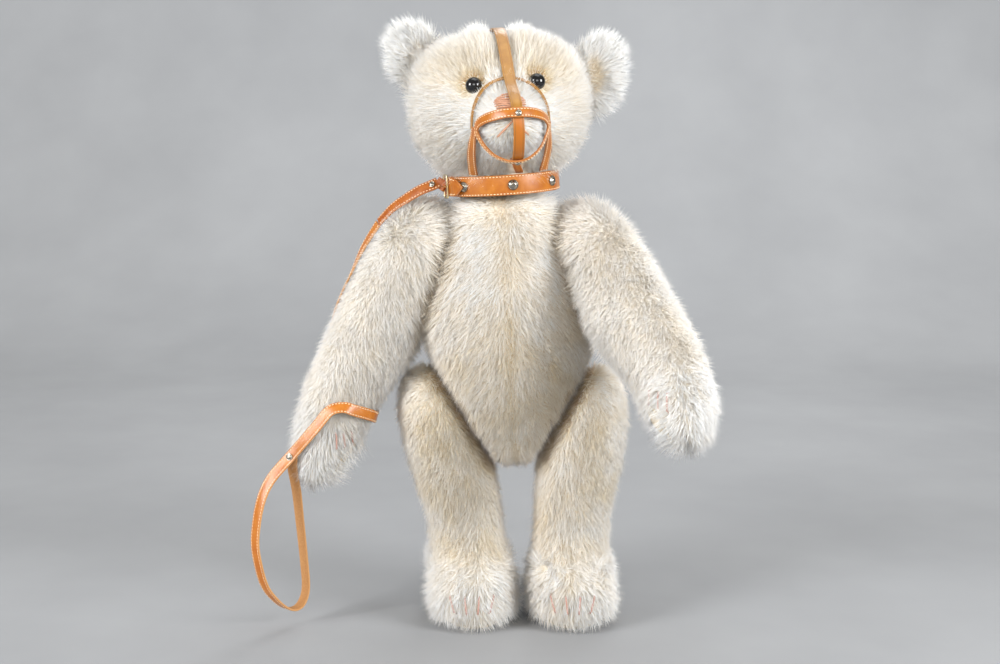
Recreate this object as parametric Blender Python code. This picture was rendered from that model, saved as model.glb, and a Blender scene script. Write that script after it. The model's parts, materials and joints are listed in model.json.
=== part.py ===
"""A jointed mohair teddy bear in a leather muzzle with a collar and a lead. Metres, +Z up; the bear faces -Y."""

import math

import bmesh
import bpy
from mathutils import Matrix, Vector
from mathutils.bvhtree import BVHTree

# Stance: the floor point between the feet, and the sideways lean per metre of height
feet_x, feet_y = 0.0275, 0.0570
lean = 0.049

# Heights of the joints: the hips from the floor, the shoulders from the hips, the neck from the shoulders
hip_height, torso_length, neck_rise = 0.226, 0.152, 0.0553
shoulder_height = hip_height + torso_length
neck_height = shoulder_height + neck_rise

# Plush, stuffing and the clearance between touching pieces
gap = 0.0003
wall = 0.007
round_sides, limb_sides = 20, 16
torso_rings, head_rings, limb_rings = 12, 17, 12
point_size = 1e-4

# Torso stations from the crotch up: height, half width, half depth, depth centre
torso_step = torso_length / 152
torso_stations = [
    (hip_height - 0.068, 0.000, 0.000, -0.004),
    (hip_height - 0.062, 0.030, 0.032, -0.004),
    (hip_height - 0.044, 0.050, 0.047, -0.002),
    (hip_height - 0.016, 0.070, 0.061, 0.000),
    (hip_height + 24 * torso_step, 0.083, 0.071, 0.001),
    (hip_height + 74 * torso_step, 0.087, 0.074, 0.002),
    (hip_height + 119 * torso_step, 0.084, 0.071, 0.006),
    (shoulder_height + 0.007, 0.073, 0.063, 0.009),
    (neck_height - 0.0193, 0.058, 0.054, 0.006),
]
torso_power = 2.15
torso_top_radius = 0.037

# Neck: a short stuffed tube under the head, turning on the torso's flat top and tilted with the head
neck_radius, neck_length, neck_blend = 0.0535, 0.0205, 0.004
head_roll = math.radians(-3.5)
head_yaw = math.radians(6.0)

# Head stations from the back to the nose, in the face's frame:
# depth, centre height, half width, reach up, reach down, squareness above and below the centre
head_x = 0.002
head_stations = [
    (0.086, 0.064, 0.000, 0.000, 0.000, 2.0, 2.0),
    (0.080, 0.064, 0.036, 0.036, 0.030, 2.2, 2.0),
    (0.060, 0.062, 0.065, 0.059, 0.050, 2.4, 1.9),
    (0.036, 0.061, 0.084, 0.073, 0.067, 2.6, 1.9),
    (0.004, 0.060, 0.091, 0.078, 0.083, 2.7, 1.9),
    (-0.028, 0.060, 0.086, 0.075, 0.078, 2.6, 2.0),
    (-0.052, 0.058, 0.070, 0.062, 0.055, 2.4, 2.1),
    (-0.070, 0.054, 0.050, 0.045, 0.043, 2.2, 2.1),
    (-0.086, 0.050, 0.037, 0.034, 0.034, 2.1, 2.1),
    (-0.104, 0.048, 0.032, 0.028, 0.030, 2.1, 2.1),
    (-0.119, 0.048, 0.026, 0.023, 0.024, 2.1, 2.1),
    (-0.127, 0.048, 0.015, 0.014, 0.014, 2.0, 2.0),
    (-0.131, 0.048, 0.000, 0.000, 0.000, 2.0, 2.0),
]

# Ears: half length, reach, half thickness, cup depth, and each one's place and turn
ear_half, ear_reach, ear_thick, ear_cup = 0.040, 0.028, 0.0085, 0.010
ear_depth = 0.008
ear_places = {"right": (-0.072, 0.112, 118.0), "left": (0.100, 0.088, 72.0)}

# Eyes
eye_radius, eye_spread, eye_height, eye_sink = 0.008, 0.031, 0.0875, 0.0035
shank_radius, shank_length = 0.0010, 0.016

# Nose and mouth stitching
nose_half_width, nose_half_height, nose_height, nose_thick = 0.0145, 0.0075, 0.0680, 0.0015
thread_radius = 0.0009
mouth_drop, mouth_spread, mouth_end = 0.0515, 0.0145, 0.0385

# Shoulders: distance of the joint from the middle, tilt of its axis, forward swing of each arm
shoulder_out = 0.0583
shoulder_tilt = math.radians(18.0)
arm_swing = {"right": math.radians(4.0), "left": math.radians(42.5)}

# Arm stations from the shoulder down, in the joint's frame:
# distance down the arm, inner and outer reach from the joint's plane, half depth, depth centre
arm_stations = [
    (-0.0425, 0.030, 0.0300, 0.000, 0.000),
    (-0.0390, 0.004, 0.0445, 0.018, 0.000),
    (-0.0240, -0.014, 0.0570, 0.034, 0.000),
    (0.0000, -0.018, 0.0675, 0.0435, 0.000),
    (0.0300, -0.016, 0.0765, 0.046, 0.000),
    (0.0650, -0.010, 0.0830, 0.047, 0.000),
    (0.1050, 0.000, 0.0875, 0.047, 0.000),
    (0.1450, 0.008, 0.0930, 0.044, -0.002),
    (0.1800, 0.018, 0.0945, 0.040, -0.004),
    (0.2100, 0.026, 0.0925, 0.036, -0.008),
    (0.2360, 0.033, 0.0850, 0.031, -0.013),
    (0.2540, 0.040, 0.0760, 0.023, -0.017),
    (0.2640, 0.050, 0.0630, 0.012, -0.019),
    (0.2670, 0.057, 0.0570, 0.000, -0.020),
]
limb_power = 2.1

# Hips: distance of the joint from the middle, tilt of its axis
hip_out = 0.054
hip_tilt = math.radians(32.0)

# Leg stations from the hip down: height, distance from the middle, half width, half depth, depth centre
sole_height = 0.0023
leg_step = hip_height / 226
leg_stations = [
    (263 * leg_step, 0.086, 0.000, 0.000, 0.000),
    (258 * leg_step, 0.086, 0.018, 0.024, 0.000),
    (243 * leg_step, 0.083, 0.031, 0.043, 0.000),
    (222 * leg_step, 0.079, 0.038, 0.054, 0.000),
    (195 * leg_step, 0.073, 0.043, 0.057, 0.000),
    (165 * leg_step, 0.066, 0.045, 0.055, 0.000),
    (135 * leg_step, 0.060, 0.043, 0.049, 0.000),
    (105 * leg_step, 0.055, 0.040, 0.043, 0.001),
    (82 * leg_step, 0.053, 0.039, 0.042, 0.000),
    (62 * leg_step, 0.052, 0.041, 0.054, -0.006),
    (40 * leg_step, 0.051, 0.045, 0.062, -0.008),
    (18 * leg_step, 0.050, 0.0465, 0.065, -0.008),
    (6 * leg_step, 0.050, 0.044, 0.061, -0.008),
    (sole_height, 0.050, 0.038, 0.054, -0.008),
]

# Felt pads: a paw pad's half width, half length and thickness
sole_pad_half_width, sole_pad_half_length, sole_pad_thick = 0.030, 0.046, 0.0020
paw_pad_size = (0.016, 0.022, 0.0015)
paw_pad_down, paw_pad_forward = 0.232, 0.014
patch_depth = 0.012

# Joint discs and cotter pins
disc_thick, pin_radius, pin_clearance = 0.0025, 0.0015, 0.0003
washer_radius, washer_thick = 0.006, 0.0010
disc_radius = {"neck": 0.029, "shoulder": 0.0185, "hip": 0.0240}
disc_steps, pin_steps, small_steps = 20, 8, 12
off_line = math.radians(11.0)

# Tilt growler in the belly: an upright card drum with a sliding weight that works a bellows
growler_radius, growler_wall, growler_length = 0.026, 0.0015, 0.050
drum_steps = 20
growler_floor = hip_height + 0.044
reed_board_thick, reed_hole = 0.0030, 0.004
weight_height, weight_clearance, weight_travel = 0.010, 0.0015, 0.016
bellows_radius = 0.018
back_slit = 0.0020

# Collar, its pointed tip (distance round from the root, half width, rise off the collar) and its studs
collar_width, collar_thick, collar_clearance = 0.0195, 0.0028, 0.0006
collar_steps = 32
tip_angle, tip_thick = -152.5, 0.0020
tip_stations = [
    (0.0000, 0.0088, -0.0012),
    (0.0040, 0.0088, 0.0004),
    (0.0080, 0.0088, 0.0020),
    (0.0130, 0.0088, 0.0037),
    (0.0180, 0.0070, 0.0048),
    (0.0225, 0.0035, 0.0056),
    (0.0250, 0.0008, 0.0060),
]
stud_radius, stud_rise = 0.0052, 0.0026
stud_angles = {"front": -79.0, "left": -31.0, "right": -130.0}

# Buckle: a wire frame and its prong, seen square on at its angle round the collar
wire_radius, prong_radius = 0.0010, 0.0009
buckle_angle, buckle_reach, buckle_corner = -160.0, 0.005, 0.0015

# Muzzle straps, in the face's frame
strap_thick, strap_x = 0.0018, 0.0045
head_strap_width, nose_strap_width = 0.0115, 0.0105
noseband_width, rear_band_width = 0.0095, 0.0085
cheek_strap_width, chin_strap_width = 0.0085, 0.0075
head_strap_centre, nose_strap_centre = 0.061, 0.045
nose_strap_back = -0.075
head_strap_end = [(0.0600, 0.0062, 0.75, -0.66), (0.0558, 0.0012, 0.80, -0.60)]
over_strap_margin, over_stitches_margin = 0.004, 0.006
noseband_half = [
    (0.0000, -0.1290, 0.0575),
    (0.0175, -0.1210, 0.0560),
    (0.0325, -0.1030, 0.0475),
    (0.0200, -0.1080, 0.0280),
    (0.0000, -0.1130, 0.0185),
]
rear_band_half = [(0.0340, -0.0935, 0.0530), (0.0335, -0.0900, 0.0600), (0.0230, -0.0790, 0.0780)]
rear_band_top = (0.0000, -0.0765, 0.0885)
cheek_strap_half = [
    (0.0360, -0.0945, 0.0400),
    (0.0385, -0.0800, 0.0260),
    (0.0375, -0.0640, 0.0120),
    (0.0340, -0.0480, 0.0010),
]
chin_strap_stations = [
    (0.0030, -0.0990, 0.0130),
    (0.0050, -0.0850, 0.0100),
    (0.0080, -0.0700, 0.0055),
    (0.0112, -0.0562, 0.0012),
]
rivet_radius, rivet_rise = 0.0030, 0.0014

# Lead: a flat strap, its route in world metres with the way its outer face looks, laid for shoulders this high
lead_shoulder_height = 0.378
lead_width, lead_thick, lead_rivet_radius = 0.0115, 0.0020, 0.0036
lead_upper_route = [
    (-0.0565, 0.0417, 0.4440, -0.35, -0.85, 0.35),
    (-0.0620, 0.0405, 0.4415, -0.30, -0.85, 0.40),
    (-0.0740, 0.0415, 0.4365, -0.30, -0.82, 0.48),
    (-0.0875, 0.0445, 0.4285, -0.38, -0.75, 0.54),
    (-0.1025, 0.0485, 0.4180, -0.50, -0.62, 0.60),
    (-0.1160, 0.0530, 0.4037, -0.66, -0.52, 0.54),
]
lead_lower_route = [
    (-0.1168, 0.0533, 0.4026, -0.66, -0.52, 0.54),
    (-0.1320, 0.0565, 0.3790, -0.85, -0.35, 0.40),
    (-0.1430, 0.0585, 0.3560, -0.93, -0.10, 0.35),
    (-0.1535, 0.0625, 0.3330, -0.93, 0.15, 0.30),
    (-0.1615, 0.0705, 0.3100, -0.85, 0.45, 0.25),
    (-0.1645, 0.0810, 0.2870, -0.70, 0.68, 0.20),
    (-0.1610, 0.0895, 0.2650, -0.35, 0.93, 0.10),
    (-0.1480, 0.0895, 0.2440, 0.00, 1.00, 0.00),
    (-0.1315, 0.0805, 0.2250, 0.45, 0.88, -0.15),
    (-0.1240, 0.0625, 0.2120, 0.75, 0.60, -0.25),
    (-0.1200, 0.0405, 0.2090, 0.95, 0.10, -0.30),
    (-0.1225, 0.0145, 0.2165, 0.80, -0.60, -0.10),
    (-0.1385, -0.0015, 0.2250, 0.35, -0.88, 0.25),
    (-0.1480, -0.0049, 0.2285, 0.10, -0.80, 0.60),
    (-0.1615, -0.0050, 0.2255, -0.10, -0.85, 0.50),
    (-0.1740, -0.0045, 0.2110, -0.30, -0.88, 0.35),
    (-0.1875, -0.0025, 0.1950, -0.40, -0.88, 0.25),
    (-0.2020, 0.0005, 0.1780, -0.40, -0.90, 0.20),
    (-0.2215, -0.0035, 0.1555, -0.50, -0.85, 0.15),
    (-0.2315, -0.0085, 0.1320, -0.60, -0.80, 0.05),
    (-0.2365, -0.0125, 0.0975, -0.65, -0.76, 0.00),
    (-0.2340, -0.0125, 0.0720, -0.60, -0.76, -0.20),
    (-0.2280, -0.0075, 0.0465, -0.52, -0.70, -0.40),
    (-0.2160, 0.0025, 0.0265, -0.30, -0.45, -0.80),
    (-0.2055, 0.0125, 0.0175, 0.05, 0.05, -1.00),
    (-0.1975, 0.0225, 0.0195, 0.45, 0.50, -0.70),
    (-0.1930, 0.0285, 0.0340, 0.65, 0.70, -0.30),
    (-0.1945, 0.0305, 0.0630, 0.65, 0.76, 0.00),
    (-0.1975, 0.0275, 0.1055, 0.60, 0.80, 0.10),
    (-0.1990, 0.0185, 0.1390, 0.50, 0.85, 0.15),
    (-0.2010, 0.0085, 0.1640, 0.40, 0.90, 0.00),
    (-0.2000, 0.0037, 0.1790, 0.40, 0.90, -0.20),
]

bpy.ops.object.select_all(action="DESELECT")
for old in list(bpy.data.objects):
    bpy.data.objects.remove(old, do_unlink=True)


def middle(height):
    """The x of the bear's middle at a height: it leans a little to its right."""
    return feet_x - lean * height


def material(name, colour, roughness, metallic=0.0):
    made = bpy.data.materials.new(name)
    made.use_nodes = True
    shader = made.node_tree.nodes["Principled BSDF"]
    shader.inputs["Base Color"].default_value = (*colour, 1.0)
    shader.inputs["Roughness"].default_value = roughness
    shader.inputs["Metallic"].default_value = metallic
    made.diffuse_color = (*colour, 1.0)
    return made


materials = {
    "mohair": material("mohair", (0.80, 0.74, 0.63), 0.9),
    "stuffing": material("stuffing", (0.62, 0.50, 0.32), 0.95),
    "felt": material("felt", (0.66, 0.55, 0.42), 0.9),
    "board": material("board", (0.30, 0.20, 0.12), 0.9),
    "card": material("card", (0.45, 0.36, 0.25), 0.9),
    "steel": material("steel", (0.50, 0.50, 0.50), 0.35, 0.9),
    "iron": material("iron", (0.10, 0.10, 0.11), 0.6, 0.7),
    "eye_glass": material("eye_glass", (0.01, 0.01, 0.012), 0.05),
    "thread": material("thread", (0.42, 0.20, 0.13), 0.8),
    "leather": material("leather", (0.65, 0.26, 0.06), 0.5),
    "tan_leather": material("tan_leather", (0.58, 0.36, 0.13), 0.5),
    "nickel": material("nickel", (0.62, 0.60, 0.56), 0.2, 1.0),
    "brass_wire": material("brass_wire", (0.80, 0.70, 0.48), 0.25, 1.0),
}


def empty(name, matrix, parent=None):
    made = bpy.data.objects.new(name, None)
    bpy.context.collection.objects.link(made)
    made.parent = parent
    made.matrix_local = matrix
    return made


def add(name, bm, finish, parent=None, place=None):
    """One object from a bmesh, closed and facing out, shaded smooth up to sharp edges."""
    mesh = bpy.data.meshes.new(name)
    bm.to_mesh(mesh)
    bm.free()
    mesh.shade_smooth()
    mesh.set_sharp_from_angle(angle=math.radians(40))
    made = bpy.data.objects.new(name, mesh)
    bpy.context.collection.objects.link(made)
    if finish:
        mesh.materials.append(materials[finish])
    made.parent = parent
    if place:
        made.matrix_local = place
    return made


def helper(name, bm, parent=None, place=None):
    made = add(name, bm, None, parent, place)
    made.hide_render = True
    made.display_type = "WIRE"
    return made


def combine(obj, other, operation="DIFFERENCE"):
    change = obj.modifiers.new(other.name, "BOOLEAN")
    change.operation = operation
    change.solver = "EXACT"
    change.object = other


def smooth_run(stations, count, closed=False):
    """Catmull-Rom values through the stations, at an even spacing of their indices."""
    total = len(stations)
    spans = total if closed else total - 1
    run = []
    for k in range(count):
        at = spans * k / (count if closed else count - 1)
        i = min(int(at), spans - 1)
        t = at - i
        ends = []
        for j in (i - 1, i, i + 1, i + 2):
            ends.append(stations[j % total] if closed else stations[max(0, min(total - 1, j))])
        value = []
        for a, b, c, d in zip(*ends):
            value.append(
                0.5 * (2 * b + (c - a) * t + (2 * a - 5 * b + 4 * c - d) * t**2 + (3 * b - a - 3 * c + d) * t**3)
            )
        run.append(tuple(value))
    return run


def oval(centre, across, deep, half_across, up, down, power, sides, power_down=None):
    """A ring of points round a centre, from an ellipse at power 2 to a squarer shape."""
    points, above = [], power
    for i in range(sides):
        angle = math.tau * (i + 0.5) / sides
        c, s = math.cos(angle), math.sin(angle)
        power = above if s > 0 else power_down or above
        u = math.copysign(abs(c) ** (2 / power), c) * half_across
        v = math.copysign(abs(s) ** (2 / power), s) * (up if s > 0 else down)
        points.append(centre + across * u + deep * v)
    return points


def loft(rings):
    """A closed skin over rings of points; a ring of one point is a tip, and an end ring is capped flat."""
    bm = bmesh.new()
    loops = [[bm.verts.new(p) for p in ring] for ring in rings]
    for first, second in zip(loops, loops[1:]):
        sides = max(len(first), len(second))
        for i in range(sides):
            j = (i + 1) % sides
            if len(first) == 1:
                bm.faces.new((first[0], second[j], second[i]))
            elif len(second) == 1:
                bm.faces.new((first[i], first[j], second[0]))
            else:
                bm.faces.new((first[i], first[j], second[j], second[i]))
    for loop in (loops[0], loops[-1]):
        if len(loop) > 1:
            bm.faces.new(loop)
    bmesh.ops.recalc_face_normals(bm, faces=bm.faces)
    return bm


def press(bm, point, normal):
    """Flattens what lies behind a plane onto it, as plush is pressed flat at a joint."""
    for vert in bm.verts:
        behind = (vert.co - point).dot(normal)
        if behind < 0:
            vert.co -= normal * behind
    bm.normal_update()


def moved_in(bm, depth):
    """Each vertex's place on a skin that lies an even depth inside this one."""
    bm.normal_update()
    return [v.co - v.normal * depth * min(v.calc_shell_factor(), 1.8) for v in bm.verts]


def inset(bm, depth):
    copy = bm.copy()
    for vert, place in zip(copy.verts, moved_in(bm, depth)):
        vert.co = place
    copy.normal_update()
    return copy


def hollow(bm, thickness):
    """The skin with a second one inside it, facing the hollow."""
    copy = bm.copy()
    copy.verts.ensure_lookup_table()
    inner = [copy.verts.new(place) for place in moved_in(bm, thickness)]
    copy.verts.index_update()
    for face in list(copy.faces):
        copy.faces.new([inner[v.index] for v in reversed(face.verts)])
    return copy


def turned(profile, steps, closed=False):
    """A solid of revolution about Z from (radius, height) points."""
    bm = bmesh.new()
    verts = [bm.verts.new((r, 0, h)) for r, h in profile]
    edges = [bm.edges.new(pair) for pair in zip(verts, verts[1:])]
    if closed:
        edges.append(bm.edges.new((verts[-1], verts[0])))
    around = {"cent": (0, 0, 0), "axis": (0, 0, 1), "angle": math.tau, "steps": steps, "use_merge": True}
    bmesh.ops.spin(bm, geom=verts + edges, **around)
    bmesh.ops.remove_doubles(bm, verts=bm.verts, dist=1e-6)
    bmesh.ops.recalc_face_normals(bm, faces=bm.faces)
    return bm


def drum(radius, low, high, steps=disc_steps):
    bm = bmesh.new()
    bmesh.ops.create_cone(bm, cap_ends=True, segments=steps, radius1=radius, radius2=radius, depth=high - low)
    bmesh.ops.translate(bm, vec=(0, 0, (low + high) / 2), verts=bm.verts)
    return bm


def ribbon(path, normals, width, thick, closed=False):
    """A flat strap along a path, its face square to the normals."""
    rings = []
    count = len(path)
    for i, (point, normal) in enumerate(zip(path, normals)):
        if closed:
            along = path[(i + 1) % count] - path[i - 1]
        else:
            along = path[min(i + 1, count - 1)] - path[max(i - 1, 0)]
        side = along.cross(normal).normalized() * width / 2
        up = side.cross(along).normalized() * thick / 2
        rings.append([point + side + up, point - side + up, point - side - up, point + side - up])
    bm = bmesh.new()
    loops = [[bm.verts.new(p) for p in ring] for ring in rings]
    spans = list(zip(loops, loops[1:])) + ([(loops[-1], loops[0])] if closed else [])
    for first, second in spans:
        for i in range(4):
            j = (i + 1) % 4
            bm.faces.new((first[i], first[j], second[j], second[i]))
    if not closed:
        bm.faces.new(loops[0])
        bm.faces.new(loops[-1])
    bmesh.ops.recalc_face_normals(bm, faces=bm.faces)
    return bm


def upright(point, axis):
    """A frame at a point with its Z along an axis."""
    return Matrix.Translation(point) @ Vector(axis).to_track_quat("Z", "Y").to_matrix().to_4x4()


# Frames of the joints
side_sign = {"right": -1, "left": 1}
neck_place = Matrix.Translation((middle(neck_height), feet_y, neck_height)) @ Matrix.Rotation(head_roll, 4, "Y")
neck = empty("neck_axis", neck_place)
face = empty("face", Matrix.Translation((0, 0, neck_length)) @ Matrix.Rotation(head_yaw, 4, "Z"), neck)
shoulder_places, arm_frames, hip_places, hip_normals = {}, {}, {}, {}
for side, sign in side_sign.items():
    at = Vector((middle(shoulder_height) + sign * shoulder_out, feet_y, shoulder_height))
    shoulder_places[side] = Matrix.Translation(at) @ Matrix.Rotation(-sign * shoulder_tilt, 4, "Y")
    swing = Matrix.Rotation(-arm_swing[side], 4, "X")
    arm_frames[side] = empty(f"{side}_arm_axis", shoulder_places[side] @ swing)
    hip_places[side] = Vector((middle(hip_height) + sign * hip_out, feet_y, hip_height))
    hip_normals[side] = Vector((sign * math.cos(hip_tilt), 0, -math.sin(hip_tilt)))
leg_frames = {side: empty(f"{side}_leg_axis", Matrix.Translation(at)) for side, at in hip_places.items()}

X, Y, Z = Vector((1, 0, 0)), Vector((0, 1, 0)), Vector((0, 0, 1))


def torso_skin():
    rings = []
    for height, half_width, half_depth, depth in smooth_run(torso_stations, torso_rings):
        centre = Vector((middle(height), feet_y + depth, height))
        if half_width < point_size:
            rings.append([centre])
            continue
        rings.append(oval(centre, X, Y, half_width, half_depth, half_depth, torso_power, round_sides))
    turn, top = neck_place.to_3x3(), torso_top_radius
    rings.append(oval(neck_place @ Vector((0, 0, -gap / 2)), turn @ X, turn @ Y, top, top, top, 2.0, round_sides))
    bm = loft(rings)
    for side, sign in side_sign.items():
        out = shoulder_places[side].to_3x3() @ X * sign
        press(bm, shoulder_places[side].translation - out * gap / 2, -out)
        press(bm, hip_places[side] - hip_normals[side] * gap / 2, -hip_normals[side])
    return bm


def head_skin():
    rings = []
    for depth, height, half_width, up, down, power, power_down in smooth_run(head_stations, head_rings):
        centre = Vector((head_x, depth, height))
        if half_width < point_size:
            rings.append([centre])
        else:
            rings.append(oval(centre, X, Z, half_width, up, down, power, round_sides, power_down))
    return loft(rings)


def arm_skin(sign):
    rings = []
    for down, inner, outer, half_depth, depth in smooth_run(arm_stations, limb_rings):
        centre = Vector((sign * (inner + outer) / 2, depth, -down))
        half = (outer - inner) / 2
        if half < point_size:
            rings.append([centre])
        else:
            rings.append(oval(centre, X, Y, half, half_depth, half_depth, limb_power, limb_sides))
    bm = loft(rings)
    press(bm, X * sign * gap / 2, X * sign)
    return bm


def leg_skin(side, sign):
    rings = []
    for height, out, half_width, half_depth, depth in smooth_run(leg_stations, limb_rings):
        centre = Vector((middle(height) + sign * out, feet_y + depth, height)) - hip_places[side]
        if half_width < point_size:
            rings.append([centre])
        else:
            rings.append(oval(centre, X, Y, half_width, half_depth, half_depth, limb_power, limb_sides))
    bm = loft(rings)
    press(bm, hip_normals[side] * gap / 2, hip_normals[side])
    return bm


def stuffed(name, skin, parent=None):
    """The plush cover and the stuffing inside it."""
    bmesh.ops.triangulate(skin, faces=skin.faces)
    cover = add(f"{name}_plush", hollow(skin, wall), "mohair", parent)
    filling = add(f"{name}_stuffing", inset(skin, wall + gap), "stuffing", parent)
    return cover, filling


def joint(name, place, kind, near, far):
    """A disc on each side of a joint, held by a cotter pin with a washer at each end."""
    place = place @ Matrix.Rotation(off_line, 4, "Z")
    inner, outer = wall + gap, wall + gap + disc_thick
    end = outer + gap + washer_thick
    radius, hole = disc_radius[kind], pin_radius + pin_clearance
    for which, sign in (("inner", -1), ("outer", 1)):
        profile = [(hole, sign * inner), (radius, sign * inner), (radius, sign * outer), (hole, sign * outer)]
        add(f"{name}_{which}_disc", turned(profile, disc_steps, closed=True), "board", None, place)
    flange = end - washer_thick
    profile = [(0, -end), (washer_radius, -end), (washer_radius, -flange), (pin_radius, -flange)]
    profile += [(r, -h) for r, h in reversed(profile)]
    add(f"{name}_pin", turned(profile, pin_steps), "steel", None, place)
    for sign, (cover, filling) in ((-1, near), (1, far)):
        low, high = sorted((sign * (wall + 0.004), -sign * 0.002))
        combine(cover, helper(f"{name}_{cover.name}_hole", drum(hole, low, high, pin_steps), None, place))
        low, high = sorted((sign * (end + gap), 0.0))
        combine(filling, helper(f"{name}_{filling.name}_recess", drum(radius + gap, low, high), None, place))


def growler(filling):
    """A tilt growler: drum, reed board, bellows and the weight that rests on the drum's floor."""
    at = Matrix.Translation((middle(growler_floor), feet_y, growler_floor))
    radius, bore = growler_radius, growler_radius - growler_wall
    top = growler_length
    add(
        "growler_case",
        turned([(0, 0), (radius, 0), (radius, top), (bore, top), (bore, growler_wall), (0, growler_wall)], drum_steps),
        "card",
        None,
        at,
    )
    low = growler_wall + gap
    add("growler_weight", drum(bore - weight_clearance, low, low + weight_height), "iron", None, at)
    board = top - reed_board_thick
    ring = [(reed_hole, board), (bore - gap, board), (bore - gap, top), (reed_hole, top)]
    add("growler_reed_board", turned(ring, drum_steps, closed=True), "card", None, at)
    add("growler_bellows", drum(bellows_radius, low + weight_height + gap, board - gap), "leather", None, at)
    combine(filling, helper("growler_pocket", drum(radius + gap, -gap, top + gap), None, at))
    slit = bmesh.new()
    bmesh.ops.create_cube(slit, size=1.0)
    bmesh.ops.scale(slit, vec=(back_slit, 0.09, top * 0.9), verts=slit.verts)
    bmesh.ops.translate(slit, vec=(0, radius * 0.5 + 0.045, top / 2), verts=slit.verts)
    combine(filling, helper("growler_slit", slit, None, at))


def patch(name, skin, finish, place, size, parent):
    """A pad that lies on a skin: a piece of the skin, a little outside it, cut out by an oval."""
    half_width, half_length, thick = size
    bm = drum(1.0, -patch_depth, patch_depth)
    bmesh.ops.scale(bm, vec=(half_width, half_length, 1.0), verts=bm.verts)
    pad = add(name, bm, finish, parent, place)
    combine(pad, helper(f"{name}_outside", inset(skin, -gap - thick), parent), "INTERSECT")
    combine(pad, helper(f"{name}_inside", inset(skin, -gap), parent))
    return pad


def ear(side, skin):
    """A shallow cup set on the corner of the head."""
    x, height, turn = ear_places[side]
    bm = bmesh.new()
    bmesh.ops.create_uvsphere(bm, u_segments=16, v_segments=10, radius=1.0)
    for vert in bm.verts:
        out, deep, along = vert.co.x, vert.co.y, vert.co.z
        cup = ear_cup * (1 - out**2 - along**2)
        vert.co = Vector((out * ear_reach, deep * ear_thick + cup, along * ear_half))
    place = Matrix.Translation((x, ear_depth, height)) @ Matrix.Rotation(math.radians(90 - turn), 4, "Y")
    made = add(f"{side}_ear", bm, "mohair", face, place)
    combine(made, helper(f"{side}_ear_seat", inset(skin, -gap), face))


def surface_frame(tree, point, towards):
    """The place where a ray from outside meets a skin, with Z along the outward normal."""
    start = point - towards * 0.2
    hit, normal, _, _ = tree.ray_cast(start, towards)
    return upright(hit, normal)


def eye(side, sign, tree, head_parts):
    """A glass ball on a wire shank, sunk into the plush."""
    seat = surface_frame(tree, Vector((head_x + sign * eye_spread, -0.05, eye_height)), Y)
    profile = []
    for i in range(7):
        angle = math.pi / 2 - math.pi * i / 7
        profile.append((eye_radius * math.cos(angle), eye_radius * math.sin(angle) - eye_sink))
    back = -eye_sink - eye_radius
    profile[0] = (0, eye_radius - eye_sink)
    profile += [(shank_radius, back + 0.001), (shank_radius, back - shank_length), (0, back - shank_length)]
    add(f"{side}_eye", turned(profile, small_steps), "eye_glass", face, seat)
    grown = []
    for r, h in profile:
        grown.append((r + gap if r else 0.0, h + gap if h > -eye_sink else h - gap))
    socket = helper(f"{side}_eye_socket", turned(grown, small_steps), face, seat)
    for part in head_parts:
        combine(part, socket)


def steady(normals):
    """Each normal averaged with its neighbours."""
    last = len(normals) - 1
    return [(normals[max(i - 1, 0)] + normals[i] * 2 + normals[min(i + 1, last)]).normalized() for i in range(last + 1)]


def hugging(tree, points, lift):
    """Points moved onto a skin, each as far above it as lift says, with the skin's normal there."""
    path, normals = [], []
    for point in map(Vector, points):
        hit, normal, _, _ = tree.find_nearest(point)
        path.append(hit + normal * lift(point))
        normals.append(normal)
    return path, steady(normals)


def wrapped(tree, origin, first, last, count, lift):
    """A run over a skin in the plane x = origin.x: angle 0 looks forward and 90 up."""
    path, normals = [], []
    for i in range(count):
        angle = math.radians(first + (last - first) * i / (count - 1))
        out = Vector((0, -math.cos(angle), math.sin(angle)))
        hit, normal, _, _ = tree.ray_cast(origin + out * 0.2, -out)
        path.append(hit + normal * lift(i))
        normals.append(normal)
    return path, steady(normals)


def strap(name, run, width, finish="leather", closed=False):
    add(name, ribbon(*run, width, strap_thick, closed), finish, face)


def dome(name, radius, rise, place, parent=face):
    profile = [(0, rise), (radius * 0.6, rise * 0.8), (radius, rise * 0.25), (radius, 0), (0, 0)]
    add(name, turned(profile, small_steps), "nickel", parent, place)


def on_strap(point, normal, lift):
    return upright(Vector(point) + Vector(normal).normalized() * lift, normal)


def nose_and_mouth(skin, tree):
    seat = surface_frame(tree, Vector((0, -0.11, nose_height)), Y)
    pad = patch("nose_stitching", skin, "thread", seat, (nose_half_width, nose_half_height, nose_thick), face)
    marks = [
        [(0, nose_height - nose_half_height / 2), (0, mouth_drop - thread_radius)],
        [(thread_radius / 2, mouth_drop + thread_radius / 2), (-mouth_spread, mouth_end)],
        [(-thread_radius / 2, mouth_drop + thread_radius / 3), (mouth_spread, mouth_end)],
    ]
    for k, (start, end) in enumerate(marks):
        points = []
        for i in range(6):
            x = start[0] + (end[0] - start[0]) * i / 5
            z = start[1] + (end[1] - start[1]) * i / 5
            hit, normal, _, _ = tree.ray_cast(Vector((x, -0.3, z)), Y)
            points.append(hit + normal * (thread_radius + gap))
        curve = bpy.data.curves.new(f"mouth_stitch_{k}", "CURVE")
        curve.dimensions = "3D"
        curve.bevel_depth = thread_radius
        curve.bevel_resolution = 0
        curve.use_fill_caps = True
        line = curve.splines.new("POLY")
        line.points.add(len(points) - 1)
        for spot, point in zip(line.points, points):
            spot.co = (*point, 1.0)
        shape = bpy.data.objects.new(curve.name, curve)
        mesh = bpy.data.meshes.new_from_object(shape)
        bpy.data.objects.remove(shape)
        bm = bmesh.new()
        bm.from_mesh(mesh)
        combine(pad, helper(f"mouth_stitch_{k}", bm, face), "UNION")


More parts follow.
